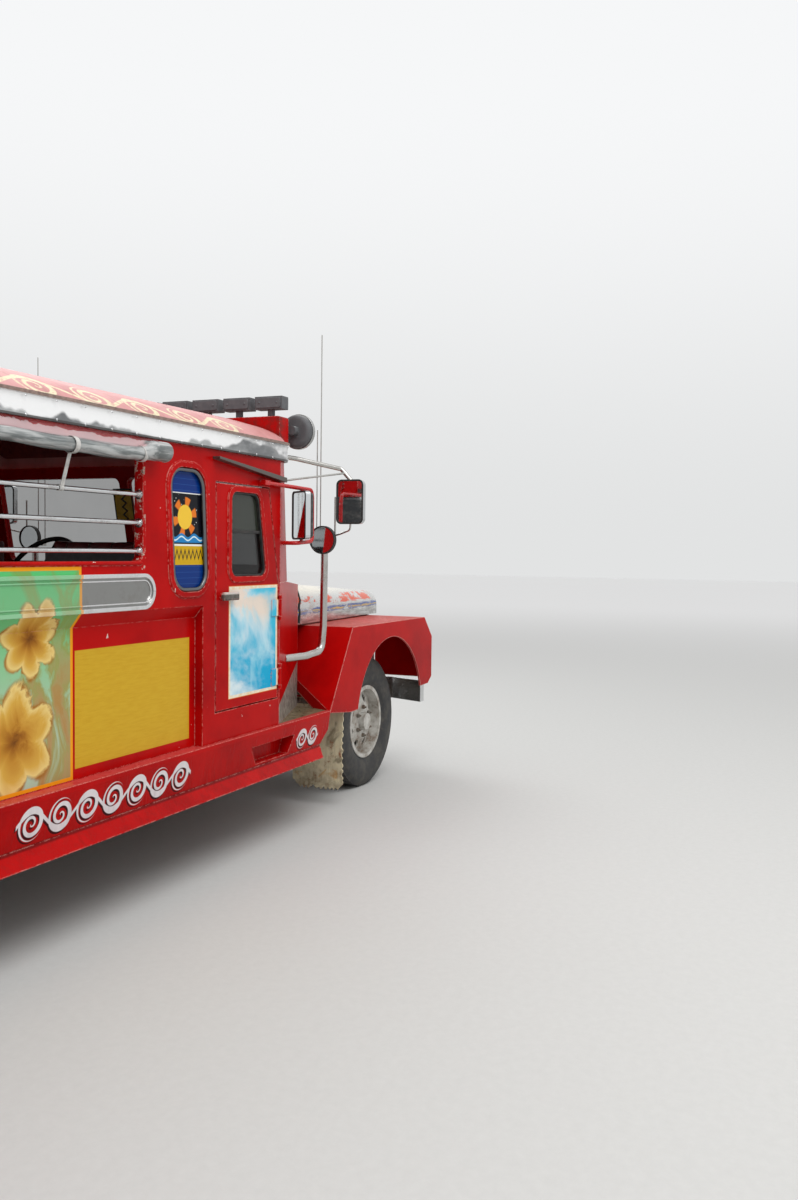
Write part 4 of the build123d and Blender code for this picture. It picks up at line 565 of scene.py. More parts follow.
def skirt_artwork(place, x, y, z, color):
    outside = y.size().rise(0.955, 0.965)
    for start, end, middle, height, curls in SCROLLS:
        shade = scrollwork(x + 0.006, z + 0.007, start, end, middle, height, curls)
        white = scrollwork(x, z, start, end, middle, height, curls)
        color = (shade * outside).mix(color, srgb(58, 6, 14))
        color = (white * outside).mix(color, srgb(228, 224, 226))
    # Painted shade: a dark red line along the groove of the lower flange.
    groove_shade = z.within(0.388, 0.400, 0.003) * outside
    color = (groove_shade * 0.7).mix(color, srgb(70, 4, 6))
    # Painted light: the skirt's flat top is painted a lighter pink, a painted highlight on the face that
    # looks up.
    top = z.rise(0.560, 0.564)
    grit = place.noise(40, 7, 0.75).rise(0.3, 0.7)
    color = (top * 0.75).mix(color, grit.mix(srgb(206, 92, 88), srgb(188, 60, 58)))
    well = x.rise(1.1, 1.14) * y.size().rise(0.972, 0.966) * z.rise(0.548, 0.556)
    return well.mix(color, grit.mix(srgb(86, 76, 58), srgb(136, 124, 98)))


skirt_enamel = enamel("skirt_enamel", skirt_artwork, dust=0.0)
put(skirt_enamel, "side_skirts")


# Doors: flush red panels, each with a picture of a bright cloudy sky in a cream edge.
# The paddle handle under the window is bare steel.
SKY_X = (0.72, 1.148)
SKY_Z = (0.74, 1.243)
SKY_EDGE = 0.016
SKY_RIM = 0.003
HANDLE_X = (0.636, 0.762)
HANDLE_Z = (1.178, 1.222)


def door_artwork(place, x, y, z, color):
    outside = y.size().rise(0.97, 0.976)
    clouds = place.noise(3.6, 5, 0.55, 0.5)
    wisps = place.stretched(1, 1, 0.4).noise(9, 4, 0.55, 0.8)
    sky = z.rise(0.74, 1.2).mix(srgb(22, 166, 210), srgb(70, 192, 222))
    sky = (clouds + (0.93 - x) * 0.5).rise(0.46, 0.72).mix(sky, srgb(222, 236, 240))
    sky = (wisps.rise(0.52, 0.72) * 0.6).mix(sky, srgb(176, 226, 238))
    glow = (clouds.rise(0.56, 0.7) * z.rise(1.0, 1.2)).least(0.6)
    sky = glow.mix(sky, srgb(240, 206, 176))
    inner = panel_mask(x, z, SKY_X, SKY_Z, SKY_EDGE)
    rubbed = place.noise(50, 5, 0.7).rise(0.35, 0.7)
    edge = rubbed.mix(srgb(240, 232, 214), srgb(232, 204, 160))
    whole = panel_mask(x, z, SKY_X, SKY_Z) * outside
    rim = panel_mask(x, z, SKY_X, SKY_Z, SKY_RIM)
    edge = rim.mix(srgb(222, 116, 44), edge)
    color = whole.mix(color, inner.mix(edge, sky))
    handle = panel_mask(x, z, HANDLE_X, HANDLE_Z) * y.size().rise(0.985, 0.988)
    # The top of the handle is painted paler steel, a painted highlight.
    handle_top_highlight = z.rise(1.205, 1.212)
    steel = handle_top_highlight.mix(rubbed.mix(srgb(112, 108, 104), srgb(84, 78, 72)), srgb(196, 192, 186))
    return handle.mix(color, steel)


door_enamel = enamel("door_enamel", door_artwork)
put(door_enamel, "door_left", "door_right")


# Cowl and fenders: the same enamel, with painted light in lighter pink patches on the fenders' flat tops.
# A bare steel kick plate, rubbed by shoes, is let into each side of the cowl beside the step.
def nose_artwork(place, x, y, z, color):
    # Painted light: lighter pink patches on the fenders' flat tops.
    top_light_patches = place.noise(14, 7, 0.68).rise(0.42, 0.66) * z.rise(0.984, 0.989) * x.rise(1.775, 1.785)
    color = (top_light_patches * 0.8).mix(color, srgb(198, 84, 78))
    kicked = place.noise(30, 7, 0.7)
    plate_edge = (x - 0.955) * 0.25 + 0.606
    cowl_side = 0.99 - (x - 1.17) * 0.383
    plate = (plate_edge - z).rise(0.0, 0.004) * (cowl_side - y.size()).rise(0.0, 0.004)
    bare = kicked.rise(0.35, 0.7).mix(srgb(156, 151, 143), srgb(104, 97, 88))
    return (plate * outer_side(place).rise(0.6, 0.7) * x.rise(1.770, 1.766)).mix(color, bare)


nose_enamel = enamel("nose_enamel", nose_artwork, fold_highlight=0.8)
put(nose_enamel, "cowl", "fenders")


# Roof: steel sheet once red, bleached to a chalky pink, with rain-drawn dirt down its sides.
# The rest of its cream scrolls runs along the shoulders.
ROOF_SCROLL = (-2.9, 0.95, 0.115, 0.20, 13)  # from X, to X, middle and height up the slope, curls
EAVES_Y = 0.98
EAVES_Z = 1.906

roof_paint = Finish("roof_paint")
roof_x, roof_y, roof_z = roof_paint.place.parts()
bleached = roof_paint.place.noise(3.2, 7, 0.66)
fine = roof_paint.place.noise(46, 6, 0.7)
roof_color = bleached.rise(0.35, 0.7).mix(srgb(206, 148, 146), srgb(190, 122, 120))
up_slope = (EAVES_Y - roof_y.size()) * 0.8 + (roof_z - EAVES_Z)
scroll = scrollwork(roof_x, up_slope, *ROOF_SCROLL)
roof_color = (scroll * fine.rise(0.68, 0.5)).mix(roof_color, srgb(224, 212, 176))
runs = roof_paint.place.stretched(9, 2, 2).noise(4, 6, 0.62)
dirt = runs.rise(0.5, 0.78) * 0.5 + (1.93 - roof_z).rise(0.0, 0.02) * 0.25
roof_color = dirt.least(0.7).mix(roof_color, srgb(128, 104, 94))
outer_skin = facing(roof_paint.place).parts()[2].rise(-0.35, -0.05)
# Painted shade: the underside of the roof is painted a dark brownish red for the unlit cabin.
shaded_ceiling = fine.rise(0.3, 0.7).mix(srgb(96, 34, 32), srgb(124, 54, 48))
roof_paint["Base Color"] = outer_skin.mix(shaded_ceiling, roof_color)
roof_paint["Roughness"] = fine * 0.2 + 0.5
roof_dents = roof_paint.place.noise(2.4, 2, 0.5).bump(0.01, 0.35, roof_paint.soft_edge(0.006))
roof_paint["Normal"] = fine.bump(0.0006, 0.35, roof_dents)
put(roof_paint, "roof")


# Bright metal: rolled stainless sheet and tube, dented by hand and streaked with old water marks.
# The same recipe, with paint let in, serves the mirror arms here and the trim, hood and grille below.
def stainless(name, color=srgb(214, 215, 216), rough=0.16, dents=0.004, tarnish=0.35, paint=None):
    """Bright or dull steel. paint changes its colour and says where the metal stays bare."""
    made = Finish(name)
    marks = made.place.noise(11, 8, 0.68)
    scratches = made.place.stretched(2, 60, 60).noise(8, 4, 0.6)
    stained = marks.rise(0.5, 0.72) * tarnish
    shown = stained.mix(color, srgb(112, 102, 92))
    bare = 1 - stained * 0.5
    if paint:
        shown, bare = paint(made.place, shown, bare)
    made["Base Color"] = shown
    made["Metallic"] = bare
    made["Roughness"] = marks * 0.12 + scratches * 0.1 + stained * 0.4 + (rough - 0.1)
    dented = made.place.noise(5, 3, 0.5).bump(dents, 0.4, made.soft_edge(0.003))
    made["Normal"] = scratches.bump(0.0002, 0.3, dented)
    return made


LOOP_Z = (1.42, 1.7265)
LOOP_FRONT_X = 1.455


def arm_paint(place, color, bare):
    """The loop beside each door is painted red like the body, and the other tubes are bare."""
    x, _, z = place.parts()
    loop = z.within(*LOOP_Z, 0.0005) * x.rise(LOOP_FRONT_X + 0.0005, LOOP_FRONT_X)
    chipped = place.noise(50, 5, 0.7).rise(0.62, 0.66)
    loop = loop * (1 - chipped)
    return loop.mix(color, ENAMEL), bare * (1 - loop)


bright_steel = stainless("bright_steel")
put(bright_steel, "window_bars", "grab_rails", "front_bumper", "rear_step")
visor_steel = stainless("visor_steel", srgb(112, 106, 102), 0.4, 0.003, 0.6)
put(visor_steel, "door_visors")
arm_steel = stainless("arm_steel", srgb(190, 188, 184), 0.2, 0.002, 0.5, arm_paint)
put(arm_steel, "mirror_arms")


# Fascia: one polished stainless band along the eaves, under a dusty gutter.
# It shines white, with painted grey reflections of trees that rise from its lower lip like hills. Its front
# end is painted a darker grey, a painted reflection too.
LIP_Z = 1.8385
GUTTER_Z = 1.9055

fascia_steel = Finish("fascia_steel")
fascia_x, _, fascia_z = fascia_steel.place.parts()
crests = fascia_steel.place.stretched(1, 0, 0).noise(1.7, 4, 0.55)
ragged = fascia_steel.place.noise(30, 5, 0.7)
# Painted reflections: grey hills of trees rising from the lower lip.
reflection_top = (crests.rise(0.43, 0.64) * 0.062 + ragged * 0.016 - 0.012) + LIP_Z
tree_reflection = (fascia_z - reflection_top).rise(0.006, -0.008)
clouded = fascia_steel.place.stretched(1, 1, 2.5).noise(4, 6, 0.62)
# Painted reflection: a darker grey towards the front end.
dark_front_reflection = fascia_x.rise(0.62, 1.0) * clouded.rise(0.62, 0.42) * 0.8
lower_lip = (fascia_z - LIP_Z).rise(0.0012, -0.0012)
gutter_top = fascia_z.rise(GUTTER_Z, GUTTER_Z + 0.0015)
reflection_color = clouded.rise(0.35, 0.65).mix(srgb(176, 178, 178), srgb(112, 114, 116))
band_color = tree_reflection.mix(srgb(253, 253, 253), reflection_color)
band_color = dark_front_reflection.mix(band_color, srgb(138, 139, 140))
band_color = (lower_lip * 0.85).mix(band_color, srgb(38, 34, 32))
fascia_grit = fascia_steel.place.noise(44, 5, 0.7)
gutter_color = fascia_grit.rise(0.3, 0.7).mix(srgb(150, 128, 118), srgb(112, 92, 84))
fascia_steel["Base Color"] = gutter_top.mix(band_color, gutter_color)
fascia_steel["Metallic"] = (1 - gutter_top) * (1 - tree_reflection * 0.35) * (1 - lower_lip) * 0.45
fascia_steel["Roughness"] = tree_reflection * 0.15 + gutter_top * 0.4 + fascia_grit * 0.1 + 0.12
fascia_steel["Normal"] = clouded.bump(0.004, 0.3, fascia_steel.soft_edge(0.003))
put(fascia_steel, "roof_fascia")


# Trim on the long walls: a flat oval of brushed sheet in a bright raised border, two to a side.
# Each is one pressing held on by its border. The blossom picture is brushed on over its rear part.
OVALS_X = ((-1.33, 0.18), (-2.88, -1.57))
OVAL_Z = (1.168, 1.307)
WALL_FACE = 0.98
OVAL_RIMS = [  # inset, how far it stands out, width
    (0.0, 0.010, 0.015),
    (0.024, 0.007, 0.005),
]
OVAL_SHEET = (0.006, 0.003)  # inset, how far it stands out


def box_corners(x, z, inset=0.0):
    """The four corners of a box in X and Z, each of them that far in."""
    low_x, high_x = x[0] + inset, x[1] - inset
    low_z, high_z = z[0] + inset, z[1] - inset
    return [(low_x, low_z), (high_x, low_z), (high_x, high_z), (low_x, high_z)]


def soften(bm, geom, radius, segments, affect):
    """Rounds off corners or edges."""
    look = {"offset_type": "OFFSET", "segments": segments, "profile": 0.5, "affect": affect, "material": -1}
    bmesh.ops.bevel(bm, geom=geom, offset=radius, **look)


def verts_among(geom):
    return [item for item in geom if isinstance(item, bmesh.types.BMVert)]


def rounded_plate(bm, corners, radius, depth, place, width=None):
    """A plate with round corners from its outline in X and Z, drawn out along -Y. A width makes it a ring."""
    before = set(bm.faces)
    points = [bm.verts.new((x, 0, z)) for x, z in corners]
    bm.faces.new(points)
    soften(bm, points, radius, 8, "VERTICES")
    faces = [face for face in bm.faces if face not in before]
    if width:
        border = bmesh.ops.inset_individual(bm, faces=faces, thickness=width, depth=0)["faces"]
        bmesh.ops.delete(bm, geom=faces, context="FACES_ONLY")
        faces = border
    moved = bmesh.ops.extrude_face_region(bm, geom=faces)["geom"]
    bmesh.ops.translate(bm, verts=verts_among(moved), vec=(0, -depth, 0))
    made = {vert for face in bm.faces if face not in before for vert in face.verts}
    bmesh.ops.transform(bm, matrix=place, verts=list(made))


def fitted_plate(bm, x, z, shape, place):
    """A rounded plate in a box. Its shape is inset, corner radius, depth and, for a ring, its width."""
    inset, radius, depth, *width = shape
    rounded_plate(bm, box_corners(x, z, inset), radius, depth, place, *width)


def outward(side, y):
    """Takes a form drawn for the right side's face to the face at y on either side."""
    return Matrix.Translation((0, side * y, 0)) @ Matrix.Diagonal((1, -side, 1, 1))


def under_picture(place, color, bare):
    x, _, z = place.parts()
    painted = panel_mask(x, z, PICTURE_X, PICTURE_Z)
    return picture(place, x, z, color, 0.78), bare * (1 - painted * 0.7)


trim_steel = stainless("trim_steel", srgb(226, 226, 226), 0.14, 0.001, 0.2, under_picture)
brushed_steel = stainless("brushed_steel", srgb(150, 150, 148), 0.34, 0.002, 0.3, under_picture)
borders = bmesh.new()
plates = bmesh.new()
for side in SIDES.values():
    for oval_x in OVALS_X:
        radius = (OVAL_Z[1] - OVAL_Z[0]) / 2 - 0.0002
        face = outward(side, WALL_FACE)
        for inset, depth, width in OVAL_RIMS:
            fitted_plate(borders, oval_x, OVAL_Z, (inset, radius - inset, depth, width), face)
        inset, depth = OVAL_SHEET
        fitted_plate(plates, oval_x, OVAL_Z, (inset, radius - inset, depth), face)
solid("oval_borders", borders, trim_steel, bevel=0.0035)
solid("oval_plates", plates, brushed_steel)


# Port windows: a fixed pane behind a rolled aluminium gasket, covered with a printed sun film in bands.
# The windscreen panes share the CAD node and are plain tinted glass.
PORT_CORNERS = [(0.307, 1.227), (0.556, 1.227), (0.524, 1.737), (0.275, 1.737)]
PORT_RADIUS = 0.085
GASKET = 0.017               # its width and how far it stands out
GLASS_Y = 0.9682
FILM_BANDS = [  # up to this height, colour
    (1.234, srgb(4, 30, 100)),
    (1.338, srgb(3, 48, 120)),
    (1.416, srgb(206, 164, 16)),
    (1.424, srgb(232, 232, 228)),
    (1.631, srgb(14, 16, 24)),
    (1.635, srgb(232, 232, 228)),
    (1.740, srgb(3, 46, 120)),
]
FILM_SUN = (0.405, 1.535, 0.052)  # middle in X and Z, radius

pane_glass = Finish("pane_glass", Specular_IOR_Level=0.12)
pane_x, _, pane_z = pane_glass.place.parts()
film_color = FILM_BANDS[0][1]
for (top, _), (_, band) in zip(FILM_BANDS, FILM_BANDS[1:]):
    film_color = pane_z.rise(top - 0.0008, top + 0.0008).mix(film_color, band)
on_blue = 1 - pane_z.within(1.338, 1.635, 0.001)
stripes = pane_z.fold(0.012).rise(0.0112, 0.0116) * on_blue
film_color = (stripes * 0.35).mix(film_color, srgb(70, 130, 200))
zigzag = pane_z - pane_x.fold(0.014) * 2.6
strokes = zigzag.within(1.356, 1.370, 0.001) * pane_z.within(1.347, 1.408, 0.001)
film_color = strokes.mix(film_color, srgb(40, 36, 30))
sky_band = pane_z.within(1.43, 1.625, 0.001)
dots = pane_glass.place.node("TexVoronoi", {}, {"Vector": pane_glass.place, "Scale": 46.0})
film_color = (dots.rise(0.12, 0.08) * sky_band).mix(film_color, srgb(240, 240, 236))
sun_x, sun_z, sun_radius = FILM_SUN
across = pane_x - sun_x
up = pane_z - sun_z
out = across.length(up)
ray = (up.angle(across) * 6).sine().rise(-0.2, 0.4)
film_color = (ray * out.rise(0.084, 0.08)).mix(film_color, srgb(226, 120, 34))
film_color = out.rise(sun_radius, sun_radius - 0.003).mix(film_color, srgb(240, 196, 60))
swell = pane_z - (pane_x * 70).sine() * 0.008
film_color = (swell.rise(1.462, 1.459) * sky_band).mix(film_color, srgb(34, 128, 190))
film_color = (swell.within(1.444, 1.450, 0.001) * sky_band).mix(film_color, srgb(214, 236, 240))
on_port = pane_x.rise(0.62, 0.6)
smears = pane_glass.place.noise(6, 6, 0.65)
pane_glass["Base Color"] = on_port.mix(srgb(30, 40, 40), film_color)
pane_glass["Alpha"] = on_port * 0.62 + 0.35 + smears * 0.06
pane_glass["Roughness"] = smears * 0.1 + on_port * 0.08 + 0.02
put(pane_glass, "fixed_glass")

gasket_metal = stainless("gasket_metal", srgb(112, 114, 115), 0.3, 0.001, 0.5)
gaskets = bmesh.new()
for side in SIDES.values():
    rounded_plate(gaskets, PORT_CORNERS, PORT_RADIUS, GASKET, outward(side, GLASS_Y), GASKET)
solid("port_gaskets", gaskets, gasket_metal, bevel=0.006)


# Door windows: a pane in two halves behind a black rubber channel, with a rail between the halves.
# The upper half has a pale sun film. The channel rides on the door.
DOOR_PANE = [(0.734, 1.285), (1.035, 1.285), (0.968, 1.660), (0.734, 1.660)]
CHANNEL_RADIUS = 0.04
CHANNEL_SIZE = (0.009, 0.014)  # width, how far it stands out
PANE_RAIL_X = (0.736, 0.998)
PANE_RAIL_Z = (1.478, 1.492)
PANE_RAIL_DEPTH = 0.0078

door_pane = Finish("door_pane", IOR=1.5, Specular_IOR_Level=0.3)
door_pane_z = door_pane.place.parts()[2]
pane_smears = door_pane.place.noise(7, 6, 0.65, 0.5)
upper_half = door_pane_z.rise(PANE_RAIL_Z[0], PANE_RAIL_Z[0] + 0.008)
door_pane["Base Color"] = upper_half.mix(srgb(14, 17, 17), srgb(50, 55, 47))
door_pane["Alpha"] = upper_half * 0.12 + pane_smears * 0.1 + 0.62
door_pane["Roughness"] = pane_smears * 0.12 + 0.03
put(door_pane, "door_glass_left", "door_glass_right")


def box_place(x, y, z):
    """Where a unit cube has to go to fill a box."""
    middle = Vector(((x[0] + x[1]) / 2, (y[0] + y[1]) / 2, (z[0] + z[1]) / 2))
    return Matrix.Translation(middle) @ Matrix.Diagonal((x[1] - x[0], y[1] - y[0], z[1] - z[0], 1))


def grained(name, pattern, spread, fresh, worn, roughness, relief=None, **fixed):
    """A plain finish that goes from its fresh to its worn colour and roughens along one grain."""
    made = Finish(name, **fixed)
    grain = made.place.noise(*pattern)
    made["Base Color"] = grain.rise(*spread).mix(fresh, worn)
    made["Roughness"] = grain * 0.2 + roughness
    if relief:
        made["Normal"] = grain.bump(*relief)
    return made


BLACK_RUBBER = srgb(24, 24, 25)
DULL_RUBBER = srgb(66, 62, 58)

soft_rubber = grained("soft_rubber", (40, 5, 0.7), (0.4, 0.75), BLACK_RUBBER, DULL_RUBBER, 0.5, (0.0006, 0.4))
for side_name, side in SIDES.items():
    channel = bmesh.new()
    width, depth = CHANNEL_SIZE
    rounded_plate(channel, DOOR_PANE, CHANNEL_RADIUS, depth, outward(side, GLASS_Y), width)
    rail_y = sorted((side * GLASS_Y, side * (GLASS_Y + PANE_RAIL_DEPTH)))
    bmesh.ops.create_cube(channel, size=1, matrix=box_place(PANE_RAIL_X, rail_y, PANE_RAIL_Z))
    solid("window_channel_" + side_name, channel, soft_rubber, "door_" + side_name, bevel=0.002)


# Hood: bright sheet with a yellowed top. Orange, blue and yellow bands are brushed low along its sides.
# A black rubber strip, wavy with age, is glued on near the cowl.
HOOD_BANDS = [  # from, to, colour, how much of it is left
    (1.098, 1.150, srgb(222, 84, 44), 0.56),
    (1.052, 1.080, srgb(44, 84, 160), 0.47),
    (1.060, 1.068, srgb(228, 196, 60), 0.5),
]


def hood_paint(place, color, bare):
    _, y, z = place.parts()
    upwards = facing(place).parts()[2]
    outside = upwards.rise(0.1, 0.3).most(outer_side(place).rise(0.1, 0.3))
    worn = place.stretched(1, 6, 10).noise(7, 6, 0.7)
    top = z.rise(1.13, 1.2) * worn.rise(0.2, 0.5) * outside
    color = (top * 0.85).mix(color, srgb(248, 241, 222))
    bare = bare * (1 - top * 0.7)
    patch = place.stretched(1, 1, 2.2).noise(6, 5, 0.66)
    side_grime = z.rise(1.12, 1.03) * worn.rise(0.35, 0.6) * 0.6
    color = side_grime.mix(color, srgb(116, 110, 104))
    for low, high, band, left in HOOD_BANDS:
        mask = (z + (worn - 0.5) * 0.04).within(low, high, 0.006) * patch.rise(left - 0.08, left + 0.02)
        mask = mask * y.size().rise(0.5, 0.55) * outside
        color = mask.mix(color, band)
        bare = bare * (1 - mask)
    return outside.mix(srgb(128, 122, 114), color), bare * (outside * 0.4 + 0.6)


hood_steel = stainless("hood_steel", srgb(222, 222, 220), 0.18, 0.006, 0.25, hood_paint)
put(hood_steel, "hood")

HOOD_STRIP_X = 1.848
HOOD_STRIP_R = 0.006
HOOD_STRIP_WAVE = 0.006
HOOD_STRIP = [  # Y and Z across the hood, from low on its left side to its middle
    (0.7165, 1.004),
    (0.7175, 1.030),
    (0.7165, 1.060),
    (0.7175, 1.095),
    (0.7165, 1.130),
    (0.7110, 1.165),
    (0.6935, 1.199),
    (0.6640, 1.217),
    (0.6210, 1.2235),
    (0.5000, 1.2285),
    (0.3600, 1.2325),
    (0.2000, 1.2360),
    (0.0, 1.2375),
]


def tube(name, path, radius, finish, body):
    """A round strip along a path."""
    curve = bpy.data.curves.new(name, "CURVE")
    curve.dimensions = "3D"
    curve.bevel_depth = radius
    curve.bevel_resolution = 3
    curve.use_fill_caps = True
    line = curve.splines.new("POLY")
    line.points.add(len(path) - 1)
    for point, place in zip(line.points, path):
        point.co = (*place, 1)
    drawn = bpy.data.objects.new(name, curve)
    mesh = bpy.data.meshes.new_from_object(drawn)
    bpy.data.objects.remove(drawn)
    bpy.data.curves.remove(curve)
    bm = bmesh.new()
    bm.from_mesh(mesh)
    bpy.data.meshes.remove(mesh)
    return solid(name, bm, finish, body)


across_hood = HOOD_STRIP + [(-y, z) for y, z in HOOD_STRIP[-2::-1]]
strip_path = []
for i, (y, z) in enumerate(across_hood):
    strip_path.append((HOOD_STRIP_X + HOOD_STRIP_WAVE * math.sin(2.6 * i), y, z))
tube("hood_strip", strip_path, HOOD_STRIP_R, soft_rubber, "hood")


# Grille: a polished plate with upright slots and round bezels.
# Behind it stands the black radiator core with its fins.
CORE_FRONT_X = 3.0706
FIN_PITCH = 0.008


def radiator_core(place, color, bare):
    x, _, z = place.parts()
    core = x.rise(CORE_FRONT_X, CORE_FRONT_X - 0.0005)
    fins = z.fold(FIN_PITCH / 2).rise(0.0006, 0.003)
    return core.mix(color, fins.mix(srgb(8, 8, 9), srgb(52, 50, 47))), bare * (1 - core)


grille_steel = stainless("grille_steel", srgb(206, 207, 206), 0.2, 0.002, 0.4, radiator_core)
put(grille_steel, "front_grille")


# Headlamps: a deep bright bowl behind a ribbed glass, dusty like the rest of the nose.
# A thin chrome ring holds each glass in its bezel.
HEADLAMP = (3.095, 0.458, 0.900)
HEADLAMP_BOWL = [(0.004, 0), (0.005, 0.03), (0.009, 0.06), (0.016, 0.084), (0.0006, 0.084), (0.0006, 0)]
HEADLAMP_LENS = [  # over the front and back again behind the glass
    (0.033, 0),
    (0.0325, 0.03),
    (0.030, 0.055),
    (0.025, 0.074),
    (0.018, 0.0835),
    (0.0155, 0.0835),
    (0.0215, 0.074),
    (0.0265, 0.055),
    (0.029, 0.03),
    (0.0295, 0),
]
HEADLAMP_RING = [
    (0.0006, 0.0845),
    (0.017, 0.0840),
    (0.024, 0.083),
    (0.025, 0.088),
    (0.018, 0.0917),
    (0.0006, 0.0917),
]


def turned(bm, profile, place, steps=48, ring=False):
    """A round piece from half its section: places along its axis, X, and radii. A ring's is closed."""
    before = set(bm.verts)
    line = [bm.verts.new(place @ Vector((x, 0, radius))) for x, radius in profile]
    pairs = zip(line, line[1:] + line[:1]) if ring else zip(line, line[1:])
    edges = [bm.edges.new(pair) for pair in pairs]
    axis = place.to_3x3() @ Vector((1, 0, 0))
    spin_round(bm, line + edges, place.translation, axis, steps)
    bmesh.ops.remove_doubles(bm, verts=[vert for vert in bm.verts if vert not in before], dist=1e-5)


lamp_glass = Finish("lamp_glass", IOR=1.5, Roughness=0.04)
lamp_dust = lamp_glass.place.noise(40, 6, 0.7).rise(0.4, 0.75)
lamp_glass["Base Color"] = lamp_dust.mix(srgb(226, 232, 232), srgb(176, 166, 148))
lamp_glass["Alpha"] = lamp_dust * 0.3 + 0.3
flutes = lamp_glass.place.parts()[1].fold(0.006)
lamp_glass["Normal"] = flutes.bump(0.004, 0.8)
chrome = stainless("chrome", srgb(232, 232, 232), 0.08, 0.0005, 0.15)

bowls = bmesh.new()
lenses = bmesh.new()
rings = bmesh.new()
for side in SIDES.values():
    place = Matrix.Translation((HEADLAMP[0], side * HEADLAMP[1], HEADLAMP[2]))
    turned(bowls, HEADLAMP_BOWL, place)
    turned(lenses, HEADLAMP_LENS, place)
    turned(rings, HEADLAMP_RING, place, ring=True)
bowl_piece = solid("headlamp_bowls", bowls, chrome)
solid("headlamp_lenses", lenses, lamp_glass)
ring_piece = solid("headlamp_rings", rings, chrome)
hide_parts("headlamps")


# Tail lamps: a red ribbed lens with an amber end, in a chrome ring.
# Each sits on a rounded base on the rear wall.
TAIL_FACE_X = -3.100
TAIL_Y = (0.640, 0.800)
TAIL_Z = (0.820, 0.900)
AMBER_Y = 0.752
TAIL_LENS = (0.007, 0.018, 0.026)  # this and the ring are shapes for fitted_plate
TAIL_RING = (0.0002, 0.0245, 0.014, 0.007)
TAIL_GAP = 0.0003


def facing_back(x):
    """Takes a form drawn for the right side's face to a face at x that looks backwards."""
    return Matrix.Translation((x, 0, 0)) @ Matrix.Rotation(math.radians(-90), 4, "Z")


def facing_front(x):
    """The same for a face that looks forwards."""
    return Matrix.Translation((x, 0, 0)) @ Matrix.Rotation(math.radians(90), 4, "Z")


def turned_back(x, y, z):
    """Where a turned piece goes so that its axis points backwards."""
    return Matrix.Translation((x, y, z)) @ Matrix.Rotation(math.radians(-180), 4, "Z")


def on_side(side, y):
    """A width on either side, as facing_back wants it."""
    return sorted((-side * y[0], -side * y[1]))


tail_lens = Finish("tail_lens", IOR=1.5, Roughness=0.12, Coat_Weight=0.6)
tail_y = tail_lens.place.parts()[1]
tail_dust = tail_lens.place.noise(50, 6, 0.7).rise(0.45, 0.8) * 0.35
tail_color = tail_y.size().rise(AMBER_Y - 0.001, AMBER_Y + 0.001).mix(srgb(158, 10, 12), srgb(214, 110, 16))
tail_lens["Base Color"] = tail_dust.mix(tail_color, srgb(150, 122, 104))
tail_ribs = tail_y.fold(0.004)
tail_lens["Normal"] = tail_ribs.bump(0.003, 0.8)
tail_lenses = bmesh.new()
tail_rings = bmesh.new()
for side in SIDES.values():
    width = on_side(side, TAIL_Y)
    face = facing_back(TAIL_FACE_X - TAIL_GAP)
    fitted_plate(tail_lenses, width, TAIL_Z, TAIL_LENS, face)
    fitted_plate(tail_rings, width, TAIL_Z, TAIL_RING, face)
tail_piece = solid("tail_lenses", tail_lenses, tail_lens, bevel=0.006)
solid("tail_lamp_rings", tail_rings, chrome, bevel=0.003)
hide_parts("tail_lamps")


# Roof lamps: ten square work lamps and two round ones, in grey moulded housings dulled by sun and dust.
# Each square housing has a raised back with two screws, and the round ones have ribs.
LAMP_BACK_X = 1.309
LAMP_FRONT_X = 1.371
ROOF_LAMP_Z = 2.130
ROOF_LAMP_HALF = (0.0765, 0.0315)
ROOF_LAMP_PITCH = 0.184
ROOF_LAMPS = 10
LAMP_BACK = (0.006, 0.012, 0.006)  # this, the rim and the rib are shapes for fitted_plate
LAMP_RIM = (0.001, 0.006, 0.005, 0.007)
LAMP_SCREWS = (-0.05, 0.05)
LAMP_SCREW = [(0.006, 0.006), (0.009, 0.0055), (0.009, 0)]
ROUND_LAMP = (1.515, 0.890, 2.006)
ROUND_LAMP_RIM = [
    (-0.016, 0.0852),
    (-0.016, 0.089),
    (0.004, 0.0895),
    (0.007, 0.086),
    (0.006, 0.078),
    (0.0002, 0.078),
    (0.0002, 0.0852),
]
RIBS = 6
RIB_HALF = 0.026             # half a rib's length
RIB_HEIGHT = 0.005
RIB_PITCH = 0.009
RIB_X = -0.040               # where the ribs start behind the lamp's middle
RIB_LOW = -0.034             # the lowest rib, from the lamp's middle
RIB = (0.0, 0.002, 0.012)

lamp_shell = Finish("lamp_shell")
shell_x, shell_y, shell_z = lamp_shell.place.parts()
shell_grain = lamp_shell.place.noise(26, 7, 0.68)
shell_dust = shell_grain.rise(0.35, 0.72) * 0.16 + facing(lamp_shell.place).parts()[2].rise(0.5, 0.9) * 0.6
forward = facing(lamp_shell.place).parts()[0].rise(0.9, 0.95) * shell_x.rise(1.36, 1.368)
square_grid = shell_y.fold(0.006).rise(0.0005, 0.0012) * shell_z.fold(0.005).rise(0.0004, 0.001)
shell_color = shell_dust.mix(srgb(84, 85, 88), srgb(150, 150, 150))
lamp_shell["Base Color"] = forward.mix(shell_color, square_grid.mix(srgb(170, 168, 150), srgb(228, 226, 212)))
lamp_shell["Roughness"] = (0.62 + shell_dust * 0.3) * (1 - forward * 0.75)
lamp_shell["Normal"] = shell_grain.bump(0.0008, 0.4, lamp_shell.soft_edge(0.005))
put(lamp_shell, "roof_lamps")

